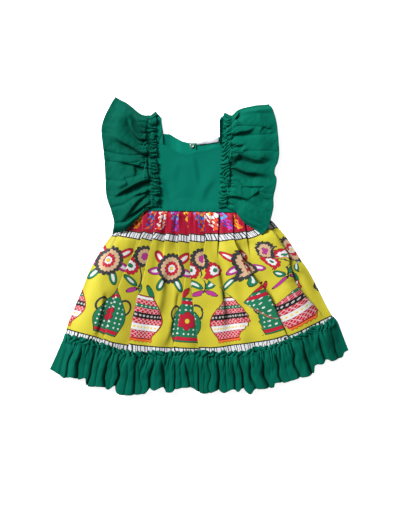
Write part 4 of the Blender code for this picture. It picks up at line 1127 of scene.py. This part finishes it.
def drift_group():
    """Uneven dye and soft wear: slow changes of lightness over a piece of cloth."""
    tree, start, end = group_tree(
        "dye_drift",
        (("Colour", "NodeSocketColor", (0.5, 0.5, 0.5, 1.0)), ("Slub", "NodeSocketFloat", 0.5),
         ("Amount", "NodeSocketFloat", 0.12)),
        (("Colour", "NodeSocketColor"), ("Worn", "NodeSocketFloat")))
    s = Sketch(tree)
    place = s.node("ShaderNodeTexCoord")
    noise = s.node("ShaderNodeTexNoise")
    noise.inputs["Scale"].default_value = 9.0
    noise.inputs["Detail"].default_value = 4.0
    tree.links.new(place.outputs["Object"], noise.inputs["Vector"])
    both = s.math("MULTIPLY_ADD", start.outputs["Slub"], 0.4, s.times(noise.outputs[0], 0.6))
    change = s.math("MULTIPLY_ADD", s.minus(both, 0.5), start.outputs["Amount"], 1.0)
    shade = s.node("ShaderNodeVectorMath", operation="SCALE")
    tree.links.new(start.outputs["Colour"], shade.inputs[0])
    tree.links.new(change, shade.inputs["Scale"])
    tree.links.new(shade.outputs[0], end.inputs["Colour"])
    tree.links.new(noise.outputs[0], end.inputs["Worn"])
    return tree


def place_group(sketch, tree, **values):
    node = sketch.node("ShaderNodeGroup", node_tree=tree)
    for label, value in values.items():
        sketch.put(node.inputs[label], value)
    return node.outputs


def shared(name, make):
    return bpy.data.node_groups.get(name) or make()


def start_material(name):
    material = bpy.data.materials.new(name)
    material.use_nodes = True
    shader = material.node_tree.nodes["Principled BSDF"]
    return material, shader, Sketch(material.node_tree)


def finish_cloth(sketch, shader, colour, across, down, stitch_at, thread, roughness, amount, gloss):
    """Weave, dye drift, painted shade in creases, folds and gaps, and one row of stitches, for every cotton
    in the dress.
    """
    hem_along, hem_away = cloth_uv(sketch, "Hem")
    pitch = bpy.context.scene.dress_sizes.weave_pitch / MILLIMETRE
    weave = place_group(sketch, shared("plain_weave", weave_group), Across=across, Down=down, Pitch=pitch)
    drift = place_group(sketch, shared("dye_drift", drift_group), Colour=colour,
                        Slub=weave["Slub"], Amount=amount)
    stitch = place_group(sketch, shared("stitch_row", stitch_group), Along=hem_along,
                         Away=sketch.minus(hem_away, stitch_at), Length=STITCH_LENGTH)
    # Painted shade: the colour is darkened by the amount that each piece stores at its points, in its
    # creases, folds and gaps
    painted_shade_layer = sketch.node("ShaderNodeAttribute", attribute_name="crease")
    deep = sketch.times(painted_shade_layer.outputs["Fac"], 0.72)
    with_painted_shade = sketch.node("ShaderNodeVectorMath", operation="SCALE")
    sketch.put(with_painted_shade.inputs[0], drift["Colour"])
    sketch.put(with_painted_shade.inputs["Scale"], sketch.minus(1.0, deep))
    finished = sketch.colour(sketch.times(stitch["Mask"], 0.75), with_painted_shade.outputs[0], thread)
    height = sketch.math("MULTIPLY_ADD", weave["Height"], 0.06, sketch.times(stitch["Height"], 0.30))
    bump = sketch.node("ShaderNodeBump")
    bump.inputs["Distance"].default_value = 0.0006
    bump.inputs["Strength"].default_value = 0.6
    sketch.put(bump.inputs["Height"], height)
    links = sketch.tree.links
    links.new(finished, shader.inputs["Base Color"])
    links.new(bump.outputs[0], shader.inputs["Normal"])
    matt = sketch.math("MULTIPLY_ADD", drift["Worn"], 0.10, roughness - 0.05)
    links.new(matt, shader.inputs["Roughness"])
    shader.inputs["Sheen Weight"].default_value = 0.01
    shader.inputs["Sheen Roughness"].default_value = 0.5
    shader.inputs["Specular IOR Level"].default_value = gloss


def green_cotton(name, colour, thread, stitch_at):
    material, shader, s = start_material(name)
    across, down = cloth_uv(s)
    shader.inputs["Base Color"].default_value = (*colour, 1.0)
    finish_cloth(s, shader, tuple(colour), across, down, stitch_at, thread,
                 roughness=0.72, amount=0.22, gloss=0.03)
    return material


def ladder(s, ground, across, down, top, bottom):
    """A white strip between two black lines, crossed by uneven black bars."""
    middle, half = 0.5 * (top + bottom), 0.5 * (bottom - top)
    waver = s.math("MULTIPLY_ADD", s.math("SINE", s.times(across, 0.21)), 1.6, across)
    waver = s.math("MULTIPLY_ADD", s.math("SINE", s.times(across, 0.57)), 0.7, waver)
    bar = s.minus(s.math("ABSOLUTE", cells(s, waver, 6.4)), 0.95)
    strip = s.paint(LADDER_WHITE, bar, BLACK)
    ground = s.paint(ground, s.slab(down, middle, half), BLACK)
    return s.colour(s.inside(s.slab(down, middle, half - 2.6)), ground, strip)


def in_turn(s, turn, colours):
    """One of the colours, by the number that turn gives."""
    chosen = colours[0]
    for k, colour in enumerate(colours[1:], 1):
        here = s.less(s.math("ABSOLUTE", s.minus(turn, float(k))), 0.5)
        chosen = s.colour(here, chosen, colour)
    return chosen


def hanging_flowers(s, ground, across, down):
    """Sprays of small petals that hang from the waist seam, in turn in different colours."""
    share = s.math("DIVIDE", s.add(across, SPRAY_SHIFT), SPRAY_PITCH)
    turn = s.math("MODULO", s.math("FLOOR", share), float(len(SPRAY_COLOURS)))
    x = s.times(s.minus(s.math("FRACT", share), 0.5), SPRAY_PITCH)
    below = s.add(down, 4.0)
    reach = s.math("SQRT", s.add(s.times(x, x), s.times(below, below)))
    angle = s.math("ARCTAN2", x, below)
    place = s.node("ShaderNodeCombineXYZ")
    s.put(place.inputs[0], s.times(s.times(angle, reach), 0.24))
    s.put(place.inputs[1], s.times(reach, 0.12))
    petals = s.node("ShaderNodeTexVoronoi", voronoi_dimensions="2D")
    petals.inputs["Scale"].default_value = 1.0
    petals.inputs["Randomness"].default_value = 0.7
    s.tree.links.new(place.outputs[0], petals.inputs["Vector"])
    pick = s.node("ShaderNodeSeparateColor")
    s.tree.links.new(petals.outputs["Color"], pick.inputs[0])
    dark, light, accent = [in_turn(s, turn, colours) for colours in zip(*SPRAY_COLOURS)]
    petal = s.colour(s.less(pick.outputs[0], 0.5), light, dark)
    petal = s.colour(s.less(pick.outputs[1], 0.3), petal, accent)
    wobble = s.times(s.math("SINE", s.times(down, 0.45)), 2.0)
    half = s.math("MULTIPLY_ADD", down, -0.30, 17.5)
    spray = s.both(s.minus(s.math("ABSOLUTE", s.add(x, wobble)), half), s.slab(down, 20.0, 24.0))
    covered = s.times(s.inside(spray), s.less(petals.outputs["Distance"], 0.5))
    ground = s.colour(covered, ground, petal)
    return s.paint(ground, s.oval(x, down, 0.0, 7.0, 3.0, 3.0), GOLD)


def cells(s, value, pitch):
    """Place inside each of a row of cells, from -pitch / 2 to pitch / 2."""
    return s.times(s.minus(s.math("FRACT", s.math("DIVIDE", value, pitch)), 0.5), pitch)


def lattice(s, x, y, pitch, half):
    """Crossed slanting lines."""
    rising = s.math("ABSOLUTE", cells(s, s.add(x, y), pitch))
    falling = s.math("ABSOLUTE", cells(s, s.minus(x, y), pitch))
    return s.minus(s.either(rising, falling), half)


def leaf(s, ground, x, y, place, size, turn, colour, heart=None):
    """One long petal or leaf, turned by some degrees, with a pale heart where one is given."""
    c, d = math.cos(math.radians(turn)), math.sin(math.radians(turn))
    a, b = s.minus(x, place[0]), s.minus(y, place[1])
    across = s.math("MULTIPLY_ADD", a, c, s.times(b, d))
    down = s.math("MULTIPLY_ADD", b, c, s.times(a, -d))
    ground = s.paint(ground, s.oval(across, down, 0.0, 0.0, *size), colour, 0.9)
    if heart:
        ground = s.paint(ground, s.oval(across, down, 0.0, -1.0, 0.42 * size[0], 0.62 * size[1]), heart)
    return ground


def bands(s, ground, shape, y, rows):
    """Paint bands across a shape: each has its top, its bottom and its colour."""
    for top, bottom, colour in rows:
        band = s.slab(y, 0.5 * (top + bottom), 0.5 * (bottom - top))
        ground = s.paint(ground, s.both(band, shape), colour, 0.5)
    return ground


def big_bloom(s, ground, x, y):
    """A wide dark-edged dahlia with six bright leaves round it."""
    wide = s.math("ABSOLUTE", x)
    ground = leaf(s, ground, wide, y, (33.0, 104.0), (9.0, 18.0), 50.0, PRINT_RED, PRINT_WHITE)
    ground = leaf(s, ground, wide, y, (36.0, 134.0), (8.0, 16.0), 106.0, MAGENTA, PRINT_WHITE)
    ground = leaf(s, ground, wide, y, (22.0, 160.0), (8.0, 17.0), 150.0, PRINT_GREEN, PRINT_WHITE)
    ground = s.paint(ground, s.petals(x, y, 0.0, 126.0, 34.0, 18, 0.14), CHARCOAL, 0.6)
    ground = s.paint(ground, s.petals(x, y, 0.0, 126.0, 26.0, 18, 0.16), TAN, 0.8)
    ground = s.paint(ground, s.petals(x, y, 0.0, 126.0, 16.0, 12, 0.26), PRINT_RED, 0.7)
    ground = s.paint(ground, s.petals(x, y, 0.0, 126.0, 9.0, 8, 0.30), PRINT_WHITE, 0.6)
    return s.paint(ground, s.oval(x, y, 0.0, 126.0, 3.6, 3.6), GOLD, 0.6)


def triple_bloom(s, ground, x, y):
    """Three smaller flowers on a dark twig with berries."""
    wide = s.math("ABSOLUTE", x)
    sway = s.times(s.math("SINE", s.times(y, 0.09)), 5.0)
    twig = s.both(s.slab(s.minus(x, sway), 0.0, 1.6), s.slab(y, 148.0, 32.0))
    ground = s.paint(ground, twig, CHARCOAL)
    ground = leaf(s, ground, wide, y, (17.0, 162.0), (6.5, 15.0), 62.0, PRINT_GREEN, PRINT_WHITE)
    ground = leaf(s, ground, wide, y, (13.0, 181.0), (4.5, 11.0), 118.0, MAGENTA)
    ground = s.paint(ground, s.petals(wide, y, 25.0, 131.0, 19.0, 12, 0.20), PRINT_RED, 0.9)
    ground = s.paint(ground, s.petals(wide, y, 25.0, 131.0, 11.0, 8, 0.26), PRINT_WHITE, 0.6)
    ground = s.paint(ground, s.oval(wide, y, 25.0, 131.0, 4.0, 4.0), PRINT_GREEN, 0.6)
    ground = s.paint(ground, s.petals(x, y, 0.0, 104.0, 24.0, 14, 0.18), CHARCOAL, 0.6)
    ground = s.paint(ground, s.petals(x, y, 0.0, 104.0, 17.0, 14, 0.20), TAN, 0.8)
    return s.paint(ground, s.petals(x, y, 0.0, 104.0, 8.0, 6, 0.30), MAGENTA, 0.7)


def banded_pot(s, ground, x, y):
    """A round red pot in woven-looking bands on an orange foot."""
    wide = s.math("ABSOLUTE", x)
    ground = leaf(s, ground, wide, y, (10.0, 182.0), (4.5, 13.0), 160.0, PRINT_GREEN)
    along = s.ramp(y, 180.0, 300.0)
    half = s.add(s.times(s.math("SINE", s.times(along, 3.0)), 31.0), 12.0)
    pot = s.both(s.minus(wide, half), s.slab(y, 236.0, 44.0))
    rim = s.minus(s.slab(y, 279.0, 5.0), s.times(s.math("ABSOLUTE", cells(s, x, 8.0)), 0.8))
    ground = s.paint(ground, s.both(s.minus(wide, 26.0), rim), ORANGE, 1.0)
    ground = s.paint(ground, pot, PRINT_RED, 1.2)
    inner = s.add(pot, 1.6)
    ground = s.paint(ground, s.both(lattice(s, x, y, 8.0, 0.85), inner), LATTICE_PINK)
    ground = bands(s, ground, inner, y, (
        (192.0, 199.0, PRINT_WHITE), (210.0, 216.0, PRINT_GREEN), (227.0, 238.0, BLACK),
        (250.0, 263.0, PRINT_WHITE)))
    spots = cells(s, x, 7.0)
    for middle, size, colour in ((213.0, 1.3, PRINT_WHITE), (232.5, 2.2, SPOT_GREY),
                                 (256.5, 2.0, GOLD)):
        ground = s.paint(ground, s.both(s.oval(spots, y, 0.0, middle, size, size), inner), colour)
    return ground


def dotted_pot(s, ground, x, y):
    """A wide green pot with white dots, two black handles and a red flower."""
    wide = s.math("ABSOLUTE", x)
    ground = leaf(s, ground, wide, y, (9.0, 180.0), (4.0, 12.0), 156.0, PRINT_RED)
    handle = s.math("ABSOLUTE", s.oval(wide, y, 36.0, 222.0, 13.0, 15.0))
    ground = s.paint(ground, s.minus(handle, 2.0), CHARCOAL)
    along = s.ramp(y, 176.0, 300.0)
    half = s.add(s.times(s.math("SINE", s.times(along, 2.6)), 32.0), 12.0)
    pot = s.both(s.minus(wide, half), s.slab(y, 236.0, 46.0))
    ground = s.paint(ground, pot, PRINT_GREEN, 1.2)
    dots = s.oval(cells(s, x, 10.0), cells(s, y, 10.0), 0.0, 0.0, 1.9, 1.9)
    ground = s.paint(ground, s.both(dots, s.add(pot, 2.5)), PRINT_WHITE)
    ground = bands(s, ground, s.add(pot, 1.2), y, ((196.0, 203.0, PRINT_RED), (272.0, 279.0, PRINT_RED)))
    ground = s.paint(ground, s.petals(x, y, 0.0, 238.0, 19.0, 6, 0.34), PRINT_RED, 1.0)
    return s.paint(ground, s.oval(x, y, 0.0, 238.0, 5.0, 5.0), GOLD, 0.8)


def border_print(colours):
    """Red band with hanging sprays, ladder, flowers over pots on yellow, and a lower ladder."""
    material, shader, s = start_material("border_print")
    across, down = cloth_uv(s)
    shader.inputs["Base Color"].default_value = (*colours.yellow, 1.0)
    yellow = tuple(colours.yellow)
    rows = []
    for shift, first, second in ((0.0, big_bloom, triple_bloom), (0.5 * MOTIF_PITCH, banded_pot, dotted_pot)):
        pair = s.math("DIVIDE", s.add(across, shift), 2.0 * MOTIF_PITCH)
        local = s.times(s.minus(s.math("FRACT", s.times(pair, 2.0)), 0.5), MOTIF_PITCH)
        odd = s.less(s.math("FRACT", pair), 0.5)
        rows.append((odd, local, first, second))
    picture = yellow
    for odd, local, first, second in rows:
        picture = s.colour(odd, second(s, picture, local, down), first(s, picture, local, down))
    band = hanging_flowers(s, tuple(colours.red), across, down)
    picture = s.colour(s.inside(s.minus(down, BAND_END)), picture, band)
    picture = ladder(s, picture, across, down, BAND_END, LADDER_END)
    picture = ladder(s, picture, across, down, LOWER_LADDER, LOWER_LADDER + LOWER_LADDER_WIDTH)
    finish_cloth(s, shader, picture, across, down, NO_STITCHES, PRINT_THREAD,
                 roughness=0.58, amount=0.10, gloss=0.15)
    return material


def simple_material(name, colour, roughness, metallic=0.0, coat=0.0):
    """Slightly uneven tape or pearl."""
    material, shader, s = start_material(name)
    place = s.node("ShaderNodeTexCoord")
    noise = s.node("ShaderNodeTexNoise")
    noise.inputs["Scale"].default_value = 700.0
    s.tree.links.new(place.outputs["Object"], noise.inputs["Vector"])
    change = s.math("MULTIPLY_ADD", noise.outputs[0], 0.16, 0.92)
    shade = s.node("ShaderNodeVectorMath", operation="SCALE")
    shade.inputs[0].default_value = colour
    s.put(shade.inputs["Scale"], change)
    s.tree.links.new(shade.outputs[0], shader.inputs["Base Color"])
    s.tree.links.new(s.math("MULTIPLY_ADD", noise.outputs[0], 0.1, roughness - 0.05),
                     shader.inputs["Roughness"])
    shader.inputs["Metallic"].default_value = metallic
    shader.inputs["Coat Weight"].default_value = coat
    return material


# Making the pieces

def grid_mesh(name, columns, rows, mirrored):
    """A flat unit grid, and the column and the row of each of its points."""
    net = bmesh.new()
    bmesh.ops.create_grid(net, x_segments=columns, y_segments=rows, size=0.5)
    if mirrored:
        bmesh.ops.reverse_faces(net, faces=net.faces)
    mesh = bpy.data.meshes.new(name)
    net.to_mesh(mesh)
    net.free()
    corners = np.empty(len(mesh.vertices) * 3)
    mesh.vertices.foreach_get("co", corners)
    corners = corners.reshape(-1, 3)
    column = np.rint((corners[:, 0] + 0.5) * columns).astype(int)
    row = np.rint((0.5 - corners[:, 1]) * rows).astype(int)
    return mesh, column, row


def sheet_object(name, grid, surface, material, thickness, mirrored=False):
    """A cloth piece on a grid that surface() places, with its thickness as a live modifier."""
    columns, rows = grid
    mesh, column, row = grid_mesh(name, columns, rows, mirrored)
    u, v = np.meshgrid(np.linspace(0.0, 1.0, columns + 1), np.linspace(0.0, 1.0, rows + 1), indexing="ij")
    cloth = surface(u, v)
    placed = np.stack((cloth.x, cloth.y, cloth.z), axis=-1)[column, row] * MILLIMETRE
    mesh.vertices.foreach_set("co", placed.reshape(-1))
    # Painted shade for the materials: how much the colour is darkened at each point
    painted_shade_layer = mesh.attributes.new("crease", "FLOAT", "POINT")
    painted_shade_layer.data.foreach_set("value", np.broadcast_to(cloth.crease, u.shape)[column, row])
    corner_of = np.empty(len(mesh.loops), dtype=np.int32)
    mesh.loops.foreach_get("vertex_index", corner_of)
    for label, first, second in (("Cloth", cloth.across, cloth.down), ("Hem", cloth.along, cloth.away)):
        layer = mesh.uv_layers.new(name=label)
        pairs = np.stack(np.broadcast_arrays(first, second), axis=-1)[column, row] * MILLIMETRE
        layer.uv.foreach_set("vector", pairs[corner_of].reshape(-1))
    mesh.shade_smooth()
    mesh.materials.append(material)
    mesh.update()
    piece = bpy.data.objects.new(name, mesh)
    bpy.context.collection.objects.link(piece)
    wall = piece.modifiers.new("Cloth", "SOLIDIFY")
    wall.thickness = thickness
    wall.offset = 1.0
    return piece


def make_sheet(piece, node):
    """Attach a piece to the root body and hide the CAD part that it stands for."""
    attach(piece, "root")
    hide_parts(node)


def table_top():
    """A broad pale table under the dress."""
    top = bmesh.new()
    bmesh.ops.create_grid(top, x_segments=2, y_segments=2, size=4.0)
    mesh = bpy.data.meshes.new("table_top")
    top.to_mesh(mesh)
    top.free()
    material, shader, _ = start_material("pale_table")
    for name, value in (("Base Color", TABLE_COLOUR), ("Roughness", 0.9), ("Emission Color", WHITE),
                        ("Emission Strength", TABLE_GLOW)):
        shader.inputs[name].default_value = value
    mesh.materials.append(material)
    return bpy.data.objects.new("table_top", mesh)


def soft_room():
    """Even white light from all round."""
    world = bpy.data.worlds.new("soft_room")
    world.use_nodes = True
    backdrop = world.node_tree.nodes["Background"]
    backdrop.inputs[0].default_value = WHITE
    backdrop.inputs[1].default_value = ROOM_LIGHT
    return world


def soft_light(name, place, size, power):
    """A square light that faces the dress."""
    data = bpy.data.lights.new(name, "AREA")
    data.size = size
    data.energy = power
    lamp = bpy.data.objects.new(name, data)
    lamp.location = place
    aim = -lamp.location.normalized()
    lamp.rotation_euler = aim.to_track_quat("-Z", "Y").to_euler()
    return lamp


def camera_above():
    """The photograph's view, straight down."""
    camera = bpy.data.cameras.new("above")
    camera.sensor_fit = "VERTICAL"
    camera.sensor_height = 24.0
    camera.lens = camera.sensor_height * CAMERA_HEIGHT / (PHOTO_HEIGHT * PHOTO_SCALE)
    view = bpy.data.objects.new("above", camera)
    view.location = ((0.5 * PHOTO_WIDTH - PHOTO_MIDDLE_X) * PHOTO_SCALE * MILLIMETRE,
                     (PHOTO_MIDDLE_Y - 0.5 * PHOTO_HEIGHT) * PHOTO_SCALE * MILLIMETRE,
                     CAMERA_HEIGHT * MILLIMETRE)
    return view


def press_stud():
    """The stud's cap: a turned profile, closed underneath."""
    stud = bmesh.new()
    corners = [stud.verts.new((SNAP_RADIUS * a * MILLIMETRE, 0.0, SNAP_HEIGHT * b * MILLIMETRE))
               for a, b in SNAP_PROFILE]
    edges = [stud.edges.new(pair) for pair in zip(corners, corners[1:])]
    bmesh.ops.spin(stud, geom=corners + edges, cent=(0.0, 0.0, 0.0), axis=(0.0, 0.0, 1.0),
                   angle=2.0 * math.pi, steps=SNAP_SIDES, use_merge=True)
    bmesh.ops.remove_doubles(stud, verts=stud.verts, dist=0.00001)
    bottom = [e for e in stud.edges if e.is_boundary]
    bmesh.ops.contextual_create(stud, geom=bottom)
    bmesh.ops.recalc_face_normals(stud, faces=stud.faces)
    level = BACK_LAP + CAD_WALL + SNAP_LIFT
    bmesh.ops.translate(stud, verts=stud.verts,
                        vec=(SNAP_PLACE[0] * MILLIMETRE, SNAP_PLACE[1] * MILLIMETRE, level * MILLIMETRE))
    mesh = bpy.data.meshes.new("press_stud")
    stud.to_mesh(mesh)
    stud.free()
    mesh.shade_smooth()
    mesh.materials.append(simple_material("pearl", SNAP_GREY, 0.30, 0.2, 0.5))
    return bpy.data.objects.new("press_stud", mesh)


class DRESS_OT_stage(bpy.types.Operator):
    """Floor, soft lights and the camera straight above"""
    bl_idname = "dress.stage"
    bl_label = "Stage"

    def execute(self, context):
        floor = table_top()
        context.collection.objects.link(floor)
        context.scene.world = soft_room()
        for light in LIGHTS:
            context.collection.objects.link(soft_light(*light))
        view = camera_above()
        context.collection.objects.link(view)
        context.scene.camera = view
        context.scene.view_settings.view_transform = "Standard"
        return {"FINISHED"}


class DRESS_OT_bodice(bpy.types.Operator):
    """Front, lapped backs and shoulder straps"""
    bl_idname = "dress.bodice"
    bl_label = "Bodice"

    def execute(self, context):
        thick, colour = context.scene.dress_sizes.cloth_thickness, context.scene.dress_colours.bodice
        green = green_cotton("bodice_green", colour, BODICE_THREAD, HEM_STITCHES)
        front = sheet_object("front", GRIDS["front"], bodice_front_surface, green, thick)
        make_sheet(front, "bodice_front")
        pale = [FACING_SHADE * part for part in colour]
        facing = green_cotton("facing_green", pale, BODICE_THREAD, HEM_STITCHES)
        surface = back_panel_surface(None, BACK_LEFT_EDGE, left_back_lap)
        left = sheet_object("back_left", GRIDS["back"], surface, facing, thick)
        make_sheet(left, "bodice_back_left")
        surface = back_panel_surface(BACK_RIGHT_EDGE, None, np.zeros_like)
        right = sheet_object("back_right", GRIDS["back"], surface, facing, thick)
        make_sheet(right, "bodice_back_right")
        for side, outer, inner, row, shoulder, taper, roll in (
                ("left", STRAP_LEFT_INNER, STRAP_LEFT_OUTER, 0, SHOULDER_LEFT, STRAP_TAPER, 0.0),
                ("right", STRAP_RIGHT_OUTER, STRAP_RIGHT_INNER, -1, SHOULDER_RIGHT, 0.0, STRAP_ROLL)):
            surface = strap_surface(outer, inner, FRONT_NECK[row][1], BACK_NECK[row][1], shoulder,
                                    taper, roll)
            strap = sheet_object("shoulder_" + side, GRIDS["shoulder"], surface, green, thick)
            make_sheet(strap, "strap_" + side)
        return {"FINISHED"}


class DRESS_OT_flutters(bpy.types.Operator):
    """Wide gathered ruffles over both shoulders"""
    bl_idname = "dress.flutters"
    bl_label = "Flutters"

    def execute(self, context):
        thick, colour = context.scene.dress_sizes.cloth_thickness, context.scene.dress_colours.flutter
        # Painted shade: the left flutter's green is a darker copy of the right one's
        for side, cut, creases, seed, shade in (
                ("left", FLUTTER_LEFT, CREASES_LEFT, 3, LEFT_SHADE),
                ("right", FLUTTER_RIGHT, CREASES_RIGHT, 8, RIGHT_SHADE)):
            green = green_cotton("flutter_green_" + side, [shade * part for part in colour],
                                 FLUTTER_THREAD, FLUTTER_STITCHES)
            piece = sheet_object("ruffle_" + side, GRIDS["ruffle"], flutter_surface(cut, creases, seed),
                                 green, thick, mirrored=side == "right")
            make_sheet(piece, "flutter_" + side)
        return {"FINISHED"}


class DRESS_OT_skirt(bpy.types.Operator):
    """Gathered printed skirt, front and back"""
    bl_idname = "dress.skirt"
    bl_label = "Skirt"

    def execute(self, context):
        thick = context.scene.dress_sizes.cloth_thickness
        printed = border_print(context.scene.dress_colours)
        front = sheet_object("printed_front", GRIDS["printed_front"], skirt_front_surface, printed, thick)
        make_sheet(front, "skirt_front")
        back = sheet_object("printed_back", GRIDS["printed_back"], skirt_back_surface, printed, thick)
        make_sheet(back, "skirt_back")
        return {"FINISHED"}


class DRESS_OT_flounce(bpy.types.Operator):
    """Gathered flounce round the hem, with its heading"""
    bl_idname = "dress.flounce"
    bl_label = "Flounce"

    def execute(self, context):
        thick, colour = context.scene.dress_sizes.cloth_thickness, context.scene.dress_colours.flounce
        green = green_cotton("flounce_green", colour, FLOUNCE_THREAD, HEM_STITCHES)
        front = sheet_object("flounce_front", GRIDS["flounce_front"], flounce_front_surface, green, thick)
        make_sheet(front, "hem_ruffle_front")
        back = sheet_object("flounce_back", GRIDS["flounce_back"], flounce_back_surface, green, thick)
        make_sheet(back, "hem_ruffle_back")
        return {"FINISHED"}


class DRESS_OT_trims(bpy.types.Operator):
    """Blank neck label and press stud"""
    bl_idname = "dress.trims"
    bl_label = "Label and stud"

    def execute(self, context):
        tape = simple_material("label_tape", LABEL_WHITE, 0.5)
        label = sheet_object("blank_label", GRIDS["blank_label"], label_surface, tape,
                             LABEL_THICKNESS * MILLIMETRE)
        make_sheet(label, "neck_label")
        stud = press_stud()
        context.collection.objects.link(stud)
        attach(stud, "root")
        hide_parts("back_snap")
        return {"FINISHED"}


class DRESS_PT_panel(bpy.types.Panel):
    """Builds the dress piece by piece"""
    bl_label = "Dress"
    bl_idname = "DRESS_PT_panel"
    bl_space_type = "VIEW_3D"
    bl_region_type = "UI"
    bl_category = "Dress"

    def draw(self, context):
        for group in (context.scene.dress_sizes, context.scene.dress_colours):
            for name in group.bl_rna.properties.keys():
                if name not in ("rna_type", "name"):
                    self.layout.prop(group, name)
        for operator in OPERATORS:
            self.layout.operator(operator.bl_idname)


OPERATORS = (DRESS_OT_stage, DRESS_OT_bodice, DRESS_OT_flutters, DRESS_OT_skirt,
             DRESS_OT_flounce, DRESS_OT_trims)
CLASSES = (DressSizes, DressColours) + OPERATORS + (DRESS_PT_panel,)


def register():
    for cls in CLASSES:
        bpy.utils.register_class(cls)
    bpy.types.Scene.dress_sizes = bpy.props.PointerProperty(type=DressSizes)
    bpy.types.Scene.dress_colours = bpy.props.PointerProperty(type=DressColours)


def unregister():
    del bpy.types.Scene.dress_sizes
    del bpy.types.Scene.dress_colours
    for cls in reversed(CLASSES):
        bpy.utils.unregister_class(cls)


def main():
    register()
    bpy.ops.dress.stage()
    bpy.ops.dress.bodice()
    bpy.ops.dress.flutters()
    bpy.ops.dress.skirt()
    bpy.ops.dress.flounce()
    bpy.ops.dress.trims()


if __name__ == "__main__":
    main()
